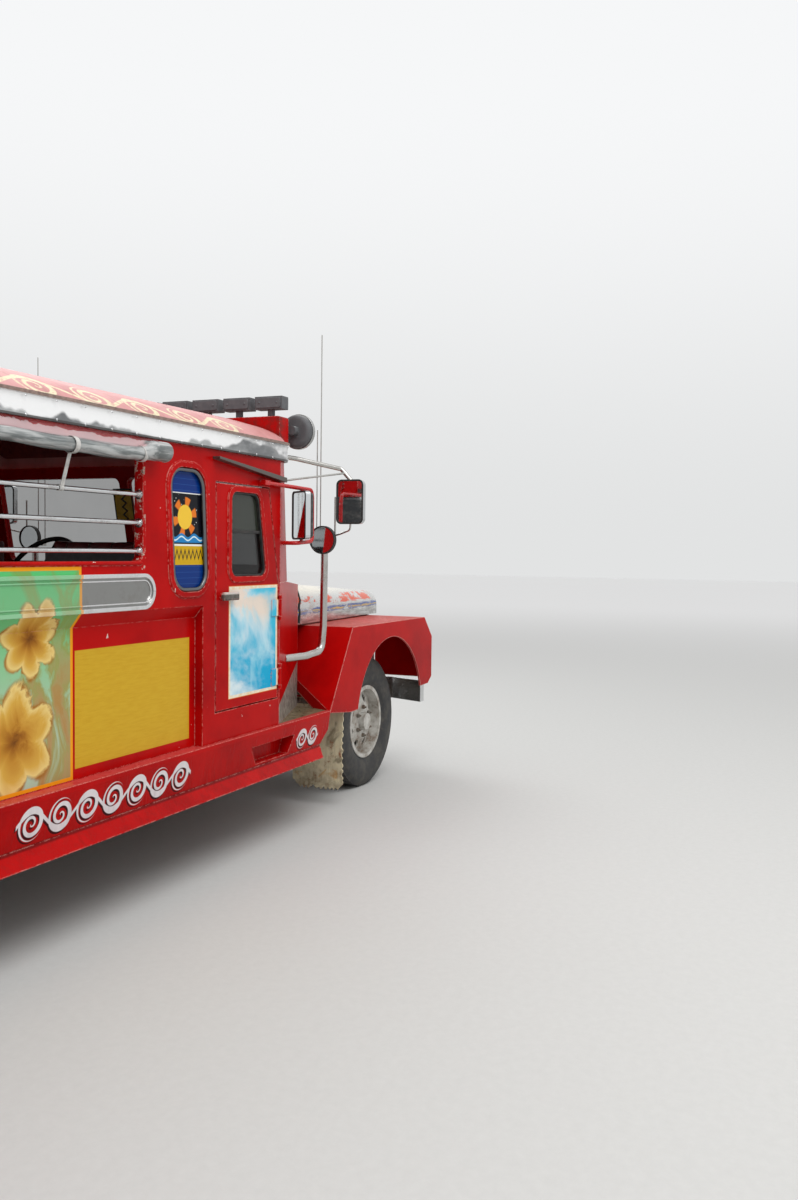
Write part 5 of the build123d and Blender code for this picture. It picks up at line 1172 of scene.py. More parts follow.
housings = bmesh.new()
lamp_rims = bmesh.new()
half_y, half_z = ROOF_LAMP_HALF
heights = (ROOF_LAMP_Z - half_z, ROOF_LAMP_Z + half_z)
for lamp in range(ROOF_LAMPS):
    middle = (lamp - (ROOF_LAMPS - 1) / 2) * ROOF_LAMP_PITCH
    width = (middle - half_y, middle + half_y)
    fitted_plate(housings, on_side(1, width), heights, LAMP_BACK, facing_back(LAMP_BACK_X))
    fitted_plate(lamp_rims, width, heights, LAMP_RIM, facing_front(LAMP_FRONT_X))
    for screw in LAMP_SCREWS:
        turned(housings, LAMP_SCREW, turned_back(LAMP_BACK_X, middle - screw, ROOF_LAMP_Z), 8)
lamp_x, lamp_y, lamp_z = ROUND_LAMP
for side in SIDES.values():
    turned(lamp_rims, ROUND_LAMP_RIM, Matrix.Translation((lamp_x, side * lamp_y, lamp_z)), ring=True)
    width = on_side(side, (lamp_y - RIB_HALF, lamp_y + RIB_HALF))
    for rib in range(RIBS):
        low = lamp_z + RIB_LOW + rib * RIB_PITCH
        fitted_plate(housings, width, (low, low + RIB_HEIGHT), RIB, facing_back(lamp_x + RIB_X))
solid("lamp_housing_backs", housings, lamp_shell, bevel=0.0025)
rim_metal = stainless("lamp_rim_metal", srgb(176, 176, 174), 0.24, 0.0005, 0.5)
solid("roof_lamp_rims", lamp_rims, rim_metal, bevel=0.0015)


# Mirrors: silvered glass in shells, each glass edged with a rubber ring.
# The far shells are flat steel, and the round ones and those by the door are grey plastic.
FAR_MIRROR_BACK_X = 1.596
FAR_MIRROR_Y = (1.065, 1.215)
FAR_MIRROR_Z = (1.542, 1.767)
FAR_MIRROR_EDGE = (-0.001, 0.028, 0.004, 0.009)  # a shape for fitted_plate, as below
ROUND_MIRROR = (1.6187, 0.973, 1.460)
ROUND_MIRROR_EDGE = [
    (-0.004, 0.0705),
    (0.020, 0.0705),
    (0.020, 0.073),
    (-0.006, 0.073),
    (-0.007, 0.069),
    (-0.004, 0.066),
]
PILLAR_MIRROR = (1.325, 1.010)
PILLAR_MIRROR_Z = (1.458, 1.694)
PILLAR_MIRROR_WIDTH = (-0.076, 0.076)
PILLAR_MIRROR_EDGE = (-0.001, 0.021, 0.004, 0.009)
PILLAR_SHELL_Z = (1.465, 1.687)
PILLAR_SHELL_WIDTH = (-0.061, 0.061)
PILLAR_SHELL = (0.0, 0.02, 0.026)
PILLAR_MIRROR_FACE = 0.013   # from its middle to the glass and to the shell
PILLAR_MIRROR_TURN = 36

mirror_finish = Finish("mirror_glass_and_shells")
mirror_y = mirror_finish.place.parts()[1].size()
mirror_marks = mirror_finish.place.noise(24, 6, 0.7)
glass_side = facing(mirror_finish.place).parts()[0].rise(-0.5, -0.6)
steel_shell = mirror_y.rise(1.055, 1.06)
shell_color = steel_shell.mix(mirror_marks.mix(srgb(40, 41, 43), srgb(78, 76, 74)), srgb(196, 197, 198))
mirror_finish["Base Color"] = glass_side.mix(shell_color, srgb(222, 226, 228))
mirror_finish["Metallic"] = glass_side.most(steel_shell)
mirror_finish["Roughness"] = (0.5 - steel_shell * 0.3) * (1 - glass_side) + mirror_marks * 0.06 + 0.01
put(mirror_finish, "mirrors")

mirror_rings = bmesh.new()
pillar_shells = bmesh.new()
for side in SIDES.values():
    far_width = on_side(side, FAR_MIRROR_Y)
    fitted_plate(mirror_rings, far_width, FAR_MIRROR_Z, FAR_MIRROR_EDGE, facing_back(FAR_MIRROR_BACK_X))
    x, y, z = ROUND_MIRROR
    turned(mirror_rings, ROUND_MIRROR_EDGE, Matrix.Translation((x, side * y, z)), ring=True)
    x, y = PILLAR_MIRROR
    turn = Matrix.Rotation(math.radians(side * PILLAR_MIRROR_TURN), 4, "Z")
    turn = Matrix.Translation((x, side * y, 0)) @ turn
    glass_face = turn @ facing_back(-PILLAR_MIRROR_FACE)
    fitted_plate(mirror_rings, PILLAR_MIRROR_WIDTH, PILLAR_MIRROR_Z, PILLAR_MIRROR_EDGE, glass_face)
    shell_face = turn @ facing_front(PILLAR_MIRROR_FACE)
    fitted_plate(pillar_shells, PILLAR_SHELL_WIDTH, PILLAR_SHELL_Z, PILLAR_SHELL, shell_face)
solid("mirror_edges", mirror_rings, soft_rubber, bevel=0.0012)
shell_plastic = Finish("shell_plastic")
plastic_grain = shell_plastic.place.noise(300, 3, 0.6)
plastic_scuff = shell_plastic.place.noise(18, 7, 0.7).rise(0.42, 0.75)
shell_plastic["Base Color"] = plastic_scuff.mix(srgb(44, 45, 47), srgb(112, 108, 104))
shell_plastic["Roughness"] = plastic_scuff * 0.2 + 0.45
shell_plastic["Normal"] = plastic_grain.bump(0.0003, 0.5)
solid("pillar_mirror_backs", pillar_shells, shell_plastic, bevel=0.009)


# Wheels: pressed steel discs under chalky off-white paint, with rust round the nuts and hand holes.
# The front discs are held by six nuts each and the rear ones by eight.
WHEEL_NUTS = {  # outer face of the disc, pitch radius, how many
    "front": (0.818, 0.085, 6),
    "rear": (0.725, 0.087, 8),
}
NUT_AND_STUD = [  # radius, height, corners
    (0.0125, 0.015, 6),
    (0.006, 0.026, 10),
]

rim_paint = Finish("rim_paint")
rim_stain = rim_paint.place.noise(12, 7, 0.68)
rim_grit = rim_paint.place.noise(70, 5, 0.7)
rim_color = rim_stain.rise(0.35, 0.65).mix(srgb(204, 202, 196), srgb(158, 152, 142))
rim_color = (rim_stain.rise(0.5, 0.7) * rim_grit.rise(0.42, 0.6) * 0.8).mix(rim_color, srgb(112, 70, 44))
rim_paint["Base Color"] = (edge_wear(rim_paint, 0.004) * 0.5).mix(rim_color, srgb(96, 72, 56))
rim_paint["Roughness"] = rim_grit * 0.25 + 0.42
rim_paint["Normal"] = rim_grit.bump(0.0004, 0.4, rim_paint.soft_edge(0.003))
put(rim_paint, "rim_front_left", "rim_front_right", "rim_rear_left", "rim_rear_right")

for end, (face_y, pitch, count) in WHEEL_NUTS.items():
    axle_x = WHEELS[end][0]
    for side_name, side in SIDES.items():
        nuts = bmesh.new()
        outwards = Matrix.Rotation(math.radians(-90 * side), 4, "X")
        for nut in range(count):
            angle = 2 * math.pi * (nut + 0.5) / count
            x = axle_x + pitch * math.cos(angle)
            z = AXLE_Z + pitch * math.sin(angle)
            for radius, tall, corners in NUT_AND_STUD:
                place = Matrix.Translation((x, side * (face_y + tall / 2), z)) @ outwards
                sizes = {"radius1": radius, "radius2": radius * 0.94, "depth": tall}
                bmesh.ops.create_cone(nuts, cap_ends=True, segments=corners, matrix=place, **sizes)
        wheel = "wheel_" + end + "_" + side_name
        solid("wheel_nuts_" + wheel, nuts, plain_steel, wheel)


# Mudflaps: sheets of painted conveyor rubber behind the front wheels. They are bolted through a steel strip.
# The lower edges are ragged and the cream paint is stained with rust.
FLAP_X = 1.900
FLAP_Y = (0.655, 0.968)
FLAP_Z = (0.088, 0.592)
FLAP_THICK = 0.008
TOOTH = 0.0065               # half the width of a tooth
LOWER_TEETH = 0.008          # how deep they are cut
OUTER_TEETH = 0.009
STRIP_MARGIN = 0.004
FLAP_BOLTS_Y = (0.695, 0.812, 0.93)
FLAP_BOLT_Z = 0.572
FLAP_BOLT = [(0.0, 0.0), (0.0, 0.010), (0.006, 0.0095), (0.0075, 0.006), (0.0075, 0.0)]
STRIP_Z = (0.556, 0.588)
STRIP_THICK = 0.002

flap_paint = Finish("flap_paint")
flap_z = flap_paint.place.parts()[2]
flap_stain = flap_paint.place.noise(16, 7, 0.7)
flap_runs = flap_paint.place.stretched(1, 12, 1.5).noise(4, 6, 0.65)
rust_mark = flap_stain.rise(0.52, 0.68) * flap_runs.rise(0.4, 0.6)
flap_patch = flap_paint.place.noise(7, 5, 0.6, 0.8)
flap_color = flap_patch.rise(0.34, 0.46).mix(srgb(150, 138, 112), srgb(222, 210, 176))
flap_color = (flap_patch.rise(0.57, 0.66) * 0.8).mix(flap_color, srgb(206, 148, 72))
flap_color = (flap_runs.rise(0.45, 0.75) * 0.4).mix(flap_color, srgb(150, 132, 102))
flap_color = (rust_mark * 0.9).mix(flap_color, srgb(140, 74, 36))
flap_splash = flap_z.rise(0.3, 0.1) * flap_stain.rise(0.3, 0.6) * 0.6
flap_paint["Base Color"] = flap_splash.mix(flap_color, srgb(112, 98, 80))
flap_paint["Roughness"] = flap_stain * 0.2 + 0.62
flap_paint["Normal"] = flap_stain.bump(0.001, 0.5)


def tooth(along):
    """1 and 0 in turn along the coarse teeth of the lower and outer edges."""
    return round(abs(along) / TOOTH) // 2 % 2


flaps = bmesh.new()
flap_bolts = bmesh.new()
for side in SIDES.values():
    width = FLAP_Y[1] - FLAP_Y[0]
    tall = FLAP_Z[1] - FLAP_Z[0]
    middle = side * (FLAP_Y[0] + width / 2)
    upright = Matrix.Translation((FLAP_X + FLAP_THICK / 2, middle, FLAP_Z[0] + tall / 2))
    upright = upright @ Matrix.Diagonal((1, width, tall, 1)) @ Matrix.Rotation(math.radians(90), 4, "Y")
    corners = bmesh.ops.create_grid(flaps, x_segments=40, y_segments=48, size=0.5, matrix=upright)["verts"]
    for vert in corners:
        free = 1 - (vert.co.z - FLAP_Z[0]) / tall
        across = (vert.co.y - middle) / width * 2
        torn = noise.fractal(Vector((vert.co.y * 30, side * 3.1, 0)), 0.6, 2.1, 4)
        teeth = LOWER_TEETH * tooth(vert.co.y)
        outer_edge = max(0, across * side - 0.93) / 0.07 * min(1, free * 2.2)
        vert.co.y -= side * outer_edge * (OUTER_TEETH * tooth(vert.co.z * 0.6) + abs(torn) * 0.008)
        vert.co.z += (abs(torn) * 0.02 + teeth + max(0, abs(across) - 0.72) ** 2 * 0.5) * free ** 6
        vert.co.x += math.sin(vert.co.y * 17 + side) * 0.004 * free ** 2
    back_x = FLAP_X - FLAP_THICK / 2
    for bolt_y in FLAP_BOLTS_Y:
        place = turned_back(back_x - STRIP_THICK, side * bolt_y, FLAP_BOLT_Z)
        turned(flap_bolts, FLAP_BOLT, place, 6)
    strip_y = sorted((side * (FLAP_Y[0] + STRIP_MARGIN), side * (FLAP_Y[1] - STRIP_MARGIN)))
    strip = box_place((back_x - STRIP_THICK, back_x), strip_y, STRIP_Z)
    bmesh.ops.create_cube(flap_bolts, size=1, matrix=strip)
bmesh.ops.solidify(flaps, geom=flaps.faces[:], thickness=FLAP_THICK)
flap_piece = solid("mud_flap_sheets", flaps, flap_paint)
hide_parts("mudflaps")
solid("mud_flap_bolts", flap_bolts, plain_steel)


# Window fittings: a pressed collar where each bar meets its post, chewed at its rim.
# Two rows of rivets run along the fascia.
BAR_Y = 0.960
BAR_HEIGHTS = (1.393, 1.502, 1.611)
BAR_ENDS = [  # X, which way its bar runs from there
    (-2.930, 1),
    (-1.490, -1),
    (-1.400, 1),
    (0.110, -1),
]
BAR_COLLAR = [
    (0.0003, 0.0094),
    (0.016, 0.0094),
    (0.016, 0.0112),
    (0.004, 0.0125),
    (0.0022, 0.018),
    (0.0003, 0.0185),
]
COLLAR_WEAR = 0.0008
FASCIA_Y = 1.0009
RIVETS = 30
RIVETS_FROM_X = -3.0
RIVET_PITCH = 0.145
RIVET_ROWS_Z = (1.8365, 1.8985)
RIVET = [(0, 0.0042), (0.0014, 0.0032), (0.002, 0)]

collars = bmesh.new()
for side in SIDES.values():
    for z in BAR_HEIGHTS:
        for x, run in BAR_ENDS:
            place = Matrix.Translation((x, side * BAR_Y, z)) @ Matrix.Diagonal((run, 1, 1, 1))
            turned(collars, BAR_COLLAR, place, 20, ring=True)
for vert in collars.verts:
    vert.co += noise.noise_vector(vert.co * 160) * COLLAR_WEAR
solid("bar_collars", collars, bright_steel)

rivets = bmesh.new()
for side in SIDES.values():
    outwards = Matrix.Rotation(math.radians(90 * side), 4, "Z")
    for number in range(RIVETS):
        x = RIVETS_FROM_X + number * RIVET_PITCH
        for z in RIVET_ROWS_Z:
            turned(rivets, RIVET, Matrix.Translation((x, side * FASCIA_Y, z)) @ outwards, 8)
solid("fascia_rivets", rivets, bright_steel)


# Rain curtains: clear vinyl gone cloudy. Each hangs from the eaves outside a long window and is rolled up.
# Vinyl straps hold the roll, and some are tied down to the top bar.
CURTAIN_X = (-2.960, 0.185)
CURTAIN_TOP = (0.9825, 1.8285)
ROLL_BACK_Y = 0.987
ROLL_LOW_Z = 1.7325
ROLL_R = (0.026, 0.042)
ROLL_THICKENS_X = (0.045, 0.11)
ROLLED = 0.475               # how much of it is wound up
HANGING_ROWS = 0.15          # the share of the mesh's rows that hang above the roll
ROLL_SHRINK = 0.88           # how much smaller the heart of the roll is than its outside, as a share
ROLL_DISC = 0.88             # the radius of the disc in each end, as a share of the roll's
ROLL_DENTS = 0.07
ROLL_END_DEPTH = 0.005       # a disc closes the roll's heart this far inside each end
STRAP_WIDTH = 0.022
STRAP_THICK = 0.0012
CURTAIN_STRAPS = [  # X, tied down to the bar
    (0.042, False),
    (-0.341, True),
    (-1.16, False),
    (-1.95, True),
    (-2.72, False),
]


def roll_section(x):
    """The roll's middle in Y and Z, and its radius, at a place along it."""
    low, high = ROLL_THICKENS_X
    thick = min(max((x - low) / (high - low), 0), 1)
    radius = ROLL_R[0] + (ROLL_R[1] - ROLL_R[0]) * thick ** 2 * (3 - 2 * thick)
    sag = 0.003 * math.sin(x * 7.6) + 0.002 * math.sin(x * 17)
    return ROLL_BACK_Y + radius, ROLL_LOW_Z + radius + sag * (1 - thick), radius


def curtain_point(x, along):
    """A point of the sheet: along goes from 0 at the eaves to 1 at the roll's heart."""
    middle_y, middle_z, radius = roll_section(x)
    if along < HANGING_ROWS:
        t = along / HANGING_ROWS
        knee = (middle_y - 0.7 * radius, middle_z + radius)
        y = (1 - t) ** 2 * CURTAIN_TOP[0] + 2 * t * (1 - t) * knee[0] + t * t * middle_y
        z = (1 - t) ** 2 * CURTAIN_TOP[1] + 2 * t * (1 - t) * knee[1] + t * t * (middle_z + radius)
        fold = noise.noise(Vector((x * 9, 0, 4))) * 0.004 * math.sin(math.pi * t)
        return y + fold, z + fold
    t = (along - HANGING_ROWS) / (1 - HANGING_ROWS)
    turns = ROLLED / (2 * math.pi * (1 - ROLL_SHRINK / 2) * radius)
    angle = math.pi / 2 - 2 * math.pi * turns * t
    dents = noise.noise(Vector((x * 8, math.cos(angle) * 1.2, math.sin(angle) * 1.2)))
    out = radius * (1 - ROLL_SHRINK * t) * (1 + ROLL_DENTS * dents * min(1, t * 6))
    return middle_y + out * math.cos(angle), middle_z + out * math.sin(angle)


vinyl = Finish("clear_vinyl", IOR=1.45)
vinyl_x, _, vinyl_z = vinyl.place.parts()
vinyl_folds = vinyl.place.stretched(1.1, 9, 9).noise(5, 5, 0.6, 0.5)
vinyl_cloud = vinyl.place.noise(17, 6, 0.66)
above_roll = (vinyl_z - vinyl_x.rise(*ROLL_THICKENS_X) * 0.032).rise(1.783, 1.790)
# Painted sheen: light and dark streaks along the folds stand for highlights and shade on the vinyl, with
# cloudy patches over them.
sheen_and_cloud = vinyl_folds.rise(0.34, 0.6).mix(srgb(186, 188, 187), srgb(108, 114, 114))
sheen_and_cloud = (vinyl_cloud.rise(0.5, 0.7) * 0.5).mix(sheen_and_cloud, srgb(150, 148, 144))
vinyl["Base Color"] = above_roll.mix(sheen_and_cloud, srgb(214, 188, 190))
gathers = vinyl.place.stretched(1, 0.2, 0.2).noise(5, 4, 0.7, 1.2)
loose_top = (vinyl_z + (gathers - 0.5) * 0.06).rise(1.812, 1.815)
vinyl["Alpha"] = (0.93 - above_roll * 0.25) * (1 - loose_top * 0.8)
vinyl["Roughness"] = vinyl_cloud * 0.22 + 0.12
vinyl["Normal"] = vinyl_folds.bump(0.003, 0.5)
PALE_STRAP = srgb(214, 212, 208)
GREY_STRAP = srgb(172, 170, 166)
strap_look = {"roughness": 0.2, "relief": (0.0005, 0.4), "IOR": 1.45, "Alpha": 0.88}
strap_vinyl = grained("strap_vinyl", (60, 5, 0.7), (0.35, 0.7), PALE_STRAP, GREY_STRAP, **strap_look)

for side_name, side in SIDES.items():
    cloth = bmesh.new()
    bmesh.ops.create_grid(cloth, x_segments=84, y_segments=110, size=0.5)
    for vert in cloth.verts:
        x = CURTAIN_X[0] + (vert.co.x + 0.5) * (CURTAIN_X[1] - CURTAIN_X[0])
        y, z = curtain_point(x, vert.co.y + 0.5)
        vert.co = (x, side * y, z)
    curtain = solid("rain_curtain_" + side_name, cloth, vinyl)
    straps = bmesh.new()
    for x, tied in CURTAIN_STRAPS:
        middle_y, middle_z, radius = roll_section(x)
        loops = [(middle_y, middle_z, radius * 1.08 + 0.001)]
        if tied:
            loops.append((BAR_Y, BAR_HEIGHTS[2], 0.0102))
        for y, z, loop_radius in loops:
            place = Matrix.Translation((x, side * y, z)) @ Matrix.Rotation(math.radians(90), 4, "Y")
            loop = bmesh.ops.create_circle(straps, segments=32, radius=loop_radius, matrix=place)["verts"]
            rim_edges = {edge for vert in loop for edge in vert.link_edges}
            made = bmesh.ops.extrude_edge_only(straps, edges=list(rim_edges))["geom"]
            bmesh.ops.translate(straps, verts=verts_among(made), vec=(STRAP_WIDTH, 0, 0))
        if tied:
            ends = [(middle_y - radius * 0.3, middle_z - radius), (BAR_Y + 0.0101, BAR_HEIGHTS[2] + 0.004)]
            shifts = (0.002, STRAP_WIDTH - 0.002)
            ribbon = [straps.verts.new((x + shift, side * y, z)) for y, z in ends for shift in shifts]
            straps.faces.new([ribbon[0], ribbon[1], ribbon[3], ribbon[2]])
    for x in (CURTAIN_X[0] + ROLL_END_DEPTH, CURTAIN_X[1] - ROLL_END_DEPTH):
        middle_y, middle_z, radius = roll_section(x)
        place = Matrix.Translation((x, side * middle_y, middle_z)) @ Matrix.Rotation(math.radians(90), 4, "Y")
        bmesh.ops.create_circle(straps, cap_ends=True, segments=32, radius=radius * ROLL_DISC, matrix=place)
    bmesh.ops.solidify(straps, geom=straps.faces[:], thickness=-STRAP_THICK)
    strap_piece = solid("curtain_straps_" + side_name, straps, strap_vinyl)
    if side_name == "right":
        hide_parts("rain_curtains")


# Cabin floor: worn tread plate, bright on its raised lugs and black with dirt between them.
# The lugs lean left and right in turn, in squares.
TREAD_PITCH = 0.03

tread_plate = Finish("tread_plate")
plate_x, plate_y, _ = tread_plate.place.parts()
column = (plate_x / TREAD_PITCH).floor()
row = (plate_y / TREAD_PITCH).floor()
odd = (column + row).odd()
rising = (plate_x + plate_y).fold(TREAD_PITCH / 2)
falling = (plate_x - plate_y).fold(TREAD_PITCH / 2)
lug = rising.rise(0.011, 0.0135) * odd + falling.rise(0.011, 0.0135) * (1 - odd)
plate_dirt = tread_plate.place.noise(5, 8, 0.7)
plate_color = plate_dirt.rise(0.35, 0.7).mix(srgb(88, 84, 78), srgb(122, 108, 90))
tread_plate["Base Color"] = (lug * plate_dirt.rise(0.65, 0.4)).mix(plate_color, srgb(158, 154, 148))
tread_plate["Metallic"] = lug * 0.6
tread_plate["Roughness"] = plate_dirt * 0.3 + 0.42
tread_plate["Normal"] = lug.bump(0.0018, 0.9)
put(tread_plate, "floor")


# Seat frames: round legs, boards and boxes under brushed grey paint.
# They are rusty where shoes and hands have rubbed.
seat_paint = Finish("seat_paint")
seat_stain = seat_paint.place.noise(20, 7, 0.7)
rubbed = (edge_wear(seat_paint, 0.005) + seat_stain.rise(0.58, 0.7) * 0.6).least(1)
seat_color = seat_stain.rise(0.3, 0.7).mix(srgb(78, 80, 82), srgb(60, 60, 62))
seat_paint["Base Color"] = (rubbed * 0.8).mix(seat_color, srgb(112, 76, 54))
seat_paint["Roughness"] = rubbed * 0.25 + 0.45
seat_paint["Normal"] = seat_stain.bump(0.0006, 0.4, seat_paint.soft_edge(0.004))
put(seat_paint, "seat_frames")


# Bench cushions: foam under dark red leathercloth, sewn across into channels.
# A narrow back rest of the same make is on each wall.
BENCH_PADS = [  # lowest corner, highest corner on the left, cuts along each axis, radius of the edges
    ((-2.955, 0.502, 0.9855), (0.325, 0.880, 1.060), (240, 14, 5), 0.030),
    ((-2.955, 0.8525, 1.086), (0.110, 0.8990, 1.116), (230, 4, 4), 0.012),
]
CHANNEL = 0.205
BENCH_CROWN = 0.004
BENCH_TUCK = 0.007           # how far a seam pulls the skin in
BENCH_SEAM = 0.012           # how far from the seam the pull fades


def leathercloth(name, shade, worn, channel, axis):
    """Sewn vinyl: seams every so far along one axis, with a stitch line on each side of them."""
    made = Finish(name)
    along = made.place.parts()[axis]
    seam = along.fold(channel / 2)
    stitch_run = made.place.parts()[1 - axis]
    stitch = seam.within(0.004, 0.0052, 0.0004) * stitch_run.fold(0.004).rise(0.0012, 0.0018)
    grain = made.place.pores(420.0)
    patches = made.place.noise(6, 6, 0.65)
    color = patches.rise(0.4, 0.7).mix(shade, worn)
    color = seam.rise(0.006, 0.001).mix(color, srgb(38, 10, 12))
    made["Base Color"] = stitch.mix(color, srgb(190, 176, 150))
    made["Roughness"] = patches * 0.2 + seam.rise(0.02, 0.0) * 0.2 + 0.34
    made["Normal"] = grain.rise(0.0, 0.25).bump(0.0004, 0.5, stitch.bump(0.0008, 0.6))
    return made


bench_vinyl = leathercloth("bench_vinyl", srgb(104, 20, 24), srgb(134, 44, 42), CHANNEL, 0)


def from_seam(place, channel):
    """How far a place is from the nearest seam."""
    return (place + channel / 2) % channel - channel / 2


def stuffed(bm, low, high, cuts, radius):
    """A crowned bench cushion inside a box. Its seams run across it and pull the skin in."""
    before = set(bm.verts)
    bmesh.ops.create_cube(bm, size=1, matrix=box_place(*zip(low, high)))
    for direction, count in enumerate(cuts):
        lines = []
        for edge in bm.edges:
            run = edge.verts[1].co - edge.verts[0].co
            if edge.verts[0] not in before and abs(run[direction]) > 0.99 * run.length:
                lines.append(edge)
        bmesh.ops.subdivide_edges(bm, edges=lines, cuts=count, use_grid_fill=True)
    middle = (Vector(low) + Vector(high)) / 2
    half = (Vector(high) - Vector(low)) / 2
    for vert in bm.verts:
        if vert in before:
            continue
        place = vert.co - middle
        core = Vector([max(-half[i] + radius, min(half[i] - radius, place[i])) for i in range(3)])
        out = place - core
        if out.length > 1e-6:
            place = core + out.normalized() * radius
        along = from_seam(vert.co.x, CHANNEL)
        pulled = math.exp(-((along / BENCH_SEAM) ** 2))
        swell = math.cos(math.pi * along / CHANNEL)
        shape = 1.0
        for i in (1, 2):
            if half[i] > radius * 2:
                shape *= 1 - (place[i] / half[i]) ** 2
        outwards = out.normalized() if out.length > 1e-6 else Vector()
        place += outwards * (BENCH_CROWN * shape * (1 - swell) - BENCH_TUCK * pulled)
        vert.co = middle + place


benches = bmesh.new()
for side in SIDES.values():
    for low, high, cuts, radius in BENCH_PADS:
        low_y, high_y = sorted((side * low[1], side * high[1]))
        stuffed(benches, (low[0], low_y, low[2]), (high[0], high_y, high[2]), cuts, radius)
bench_piece = solid("bench_pads", benches, bench_vinyl)
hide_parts("bench_cushions")


# Cab seats: thicker foam pads and upright backs under the same leathercloth, tied to their steel frames.
# Each pad starts as a plain block. Its cover is blown up a little as cloth, and then its channels are sewn.
CAB_PADS = [  # lowest corner, highest corner on the left
    ((0.602, 0.152, 0.9005), (1.008, 0.648, 1.0095)),
    ((0.521, 0.152, 1.0125), (0.599, 0.648, 1.4490)),
]
PAD_START = 0.006            # how far the block is smaller than its place
PAD_ROUND = 0.016
PAD_VOXEL = 0.009
PAD_PRESSURE = 4
PAD_FRAMES = 20
PAD_SWELL = 0.013            # how far any point may move
PAD_PAST = 0.004             # how far past its place a cover may swell at its front and ends
PAD_CHANNEL = 0.124
PAD_TUCK = 0.006
PAD_SEAM = 0.011

cab_vinyl = leathercloth("cab_vinyl", srgb(92, 18, 22), srgb(124, 44, 42), PAD_CHANNEL, 1)


def evaluated_mesh(piece):
    """A piece's mesh as its modifiers leave it."""
    return bpy.data.meshes.new_from_object(piece.evaluated_get(bpy.context.evaluated_depsgraph_get()))


def blown_pad(low, high):
    """A pad's cover, blown up from a block by a cloth simulation."""
    bm = bmesh.new()
    shrunk = [(a + PAD_START, b - PAD_START) for a, b in zip(low, high)]
    bmesh.ops.create_cube(bm, size=1, matrix=box_place(*shrunk))
    soften(bm, bm.edges[:], PAD_ROUND, 4, "EDGES")
    mesh = bpy.data.meshes.new("pad")
    bm.to_mesh(mesh)
    bm.free()
    pad = bpy.data.objects.new("pad", mesh)
    scene.collection.objects.link(pad)
    remesh = pad.modifiers.new("remesh", "REMESH")
    remesh.mode, remesh.voxel_size = "VOXEL", PAD_VOXEL
    pad.data = evaluated_mesh(pad)
    pad.modifiers.clear()
    start = [vert.co.copy() for vert in pad.data.vertices]
    cloth = pad.modifiers.new("cloth", "CLOTH")
    cloth.settings.use_pressure = True
    cloth.settings.uniform_pressure_force = PAD_PRESSURE
    cloth.settings.effector_weights.gravity = 0
    for frame_number in range(1, PAD_FRAMES + 1):
        scene.frame_set(frame_number)
    pad.data = evaluated_mesh(pad)
    pad.modifiers.clear()
    scene.frame_set(1)
    for vert, place in zip(pad.data.vertices, start):
        moved = vert.co - place
        if moved.length > PAD_SWELL:
            moved = moved.normalized() * PAD_SWELL
        vert.co = place + moved
        vert.co.x = min(max(vert.co.x, low[0]), high[0] + PAD_PAST)
        vert.co.y = min(max(vert.co.y, low[1] - PAD_PAST), high[1] + PAD_PAST)
        vert.co.z = min(max(vert.co.z, low[2]), high[2])
    shaped = bmesh.new()
    shaped.from_mesh(pad.data)
    bpy.data.objects.remove(pad)
    return shaped


cab_pads = bmesh.new()
for low, high in CAB_PADS:
    pad = blown_pad(low, high)
    pad.normal_update()
    for vert in pad.verts:
        along = from_seam(vert.co.y, PAD_CHANNEL)
        vert.co -= vert.normal * PAD_TUCK * math.exp(-((along / PAD_SEAM) ** 2))
    for side in SIDES.values():
        add_copy(cab_pads, pad, Matrix.Diagonal((1, side, 1, 1)))
    pad.free()
cab_piece = solid("cab_seat_pads", cab_pads, cab_vinyl)
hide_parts("cab_seats")


# Dashboard: black grained vinyl over sheet steel, with three round gauges and a row of switches.
# The steering wheel is black resin, worn smooth and shiny round its rim.
GAUGES = [  # Y, Z, radius
    (0.290, 1.135, 0.030),
    (0.365, 1.138, 0.038),
    (0.445, 1.135, 0.030),
]
DASH_REAR_X = 1.290
GAUGE_RIM = [  # X, share of the radius
    (0.0002, 0.92),
    (0.008, 0.9),
    (0.010, 0.96),
    (0.008, 1.0),
    (0.0002, 1.0),
]
SWITCHES = 5
SWITCH_FROM = (0.270, 1.083)  # Y and Z of the first
SWITCH_PITCH = 0.045
SWITCH = [
    (0.0002, 0.009),
    (0.004, 0.0085),
    (0.005, 0.004),
    (0.020, 0.003),
    (0.023, 0.0055),
    (0.027, 0.004),
    (0.028, 0),
]

dash_vinyl = Finish("dash_vinyl")
dash_grain = dash_vinyl.place.pores(300.0)
dash_dust = dash_vinyl.place.noise(14, 7, 0.7).rise(0.42, 0.75) * 0.4
dash_dust = dash_dust + facing(dash_vinyl.place).parts()[2].rise(0.6, 0.95) * 0.25
dash_vinyl["Base Color"] = dash_dust.mix(srgb(26, 26, 27), srgb(122, 112, 98))
dash_vinyl["Roughness"] = dash_dust * 0.4 + 0.45
dash_vinyl["Normal"] = dash_grain.rise(0.0, 0.2).bump(0.0005, 0.6, dash_vinyl.soft_edge(0.004))
put(dash_vinyl, "dashboard")
BLACK_RESIN = srgb(18, 18, 19)
WORN_RESIN = srgb(52, 48, 44)
resin_look = {"roughness": 0.25, "Coat_Weight": 0.2}
wheel_resin = grained("wheel_resin", (30, 5, 0.65), (0.4, 0.75), BLACK_RESIN, WORN_RESIN, **resin_look)
put(wheel_resin, "steering_wheel")

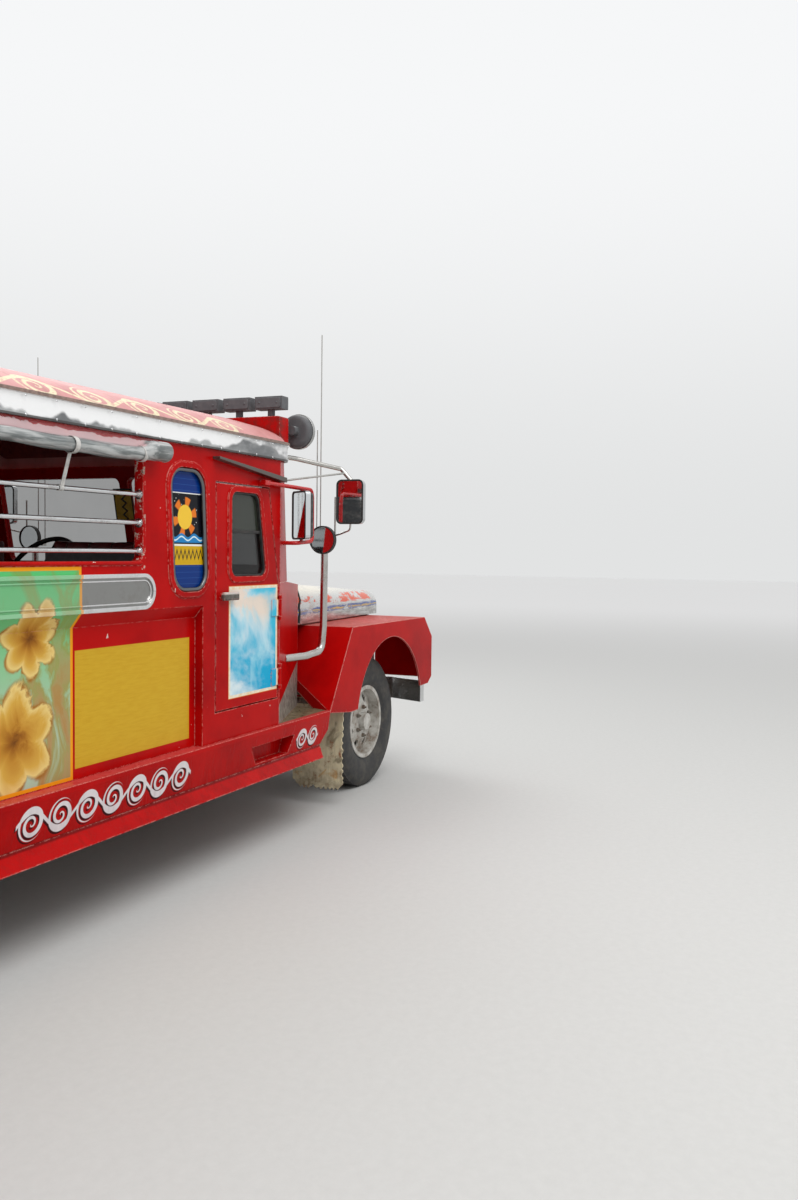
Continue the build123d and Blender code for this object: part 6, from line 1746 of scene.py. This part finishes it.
dial_face = Finish("dial_face", Roughness=0.3)
_, dial_y, dial_z = dial_face.place.parts()
dial_color = srgb(16, 16, 18)
for gauge_y, gauge_z, radius in GAUGES:
    across = dial_y - gauge_y
    up = dial_z - gauge_z
    out = across.length(up)
    turn = up.angle(across)
    ticks = turn.fold(math.pi / 16).rise(0.03, 0.015) * out.within(radius * 0.68, radius * 0.84, 0.0003)
    needle = (across * 0.8 + up * 0.6).size().rise(0.0012, 0.0008) * out.rise(radius * 0.72, radius * 0.7)
    dial_color = (ticks * up.rise(-radius * 0.6, -radius * 0.5)).mix(dial_color, srgb(226, 224, 214))
    dial_color = (needle * (across * -0.6 + up * 0.8).rise(-0.004, -0.003)).mix(dial_color, srgb(214, 70, 30))
dial_face["Base Color"] = dial_color
dials = bmesh.new()
gauge_rings = bmesh.new()
for gauge_y, gauge_z, radius in GAUGES:
    place = turned_back(DASH_REAR_X, gauge_y, gauge_z)
    turned(dials, [(0.0002, radius * 0.93), (0.003, radius * 0.93), (0.003, 0)], place, 32)
    rim = [(x, radius * share) for x, share in GAUGE_RIM]
    turned(gauge_rings, rim, place, 32, ring=True)
switch_y, switch_z = SWITCH_FROM
for switch in range(SWITCHES):
    turned(gauge_rings, SWITCH, turned_back(DASH_REAR_X, switch_y + switch * SWITCH_PITCH, switch_z), 16)
solid("gauge_dials", dials, dial_face)
solid("gauge_rings", gauge_rings, chrome)


# Windscreen card: thin yellow board with a black zigzag in a dark frame.
# It is stuck across the inner face of the screen's middle post and leans with it.
PANEL_Y = (-0.050, 0.070)
PANEL_Z = (1.545, 1.715)
PANEL_FRAME = (0.008, 0.010)  # the dark frame's width in Y and in Z
PANEL = (0.0, 0.006, 0.002)  # its shape for fitted_plate
POST_INNER = (1.345, 1.250, 0.20690)  # X of the post's inner face, at this height, and how fast it leans

panel_paint = Finish("panel_paint", Roughness=0.4)
_, panel_y, panel_z = panel_paint.place.parts()
panel_wear = panel_paint.place.noise(60, 6, 0.7)
zigzag_y = panel_z.fold(0.020) * 1.3 - 0.007
mark = (panel_y - zigzag_y).size().rise(0.0075, 0.0065)
panel_color = panel_wear.rise(0.3, 0.75).mix(srgb(250, 216, 86), srgb(224, 186, 66))
panel_color = mark.mix(panel_color, srgb(24, 22, 20))
frame_y, frame_z = PANEL_FRAME
framed = panel_y.within(PANEL_Y[0] + frame_y, PANEL_Y[1] - frame_y, 0.0006)
framed = framed * panel_z.within(PANEL_Z[0] + frame_z, PANEL_Z[1] - frame_z, 0.0006)
panel_color = framed.mix(srgb(34, 30, 28), panel_color)
panel_paint["Base Color"] = panel_color
panel = bmesh.new()
fitted_plate(panel, on_side(1, PANEL_Y), PANEL_Z, PANEL, facing_back(0))
post_x, from_z, lean = POST_INNER
for vert in panel.verts:
    vert.co.x += post_x - (vert.co.z - from_z) * lean - 0.0002
solid("screen_panel", panel, panel_paint)
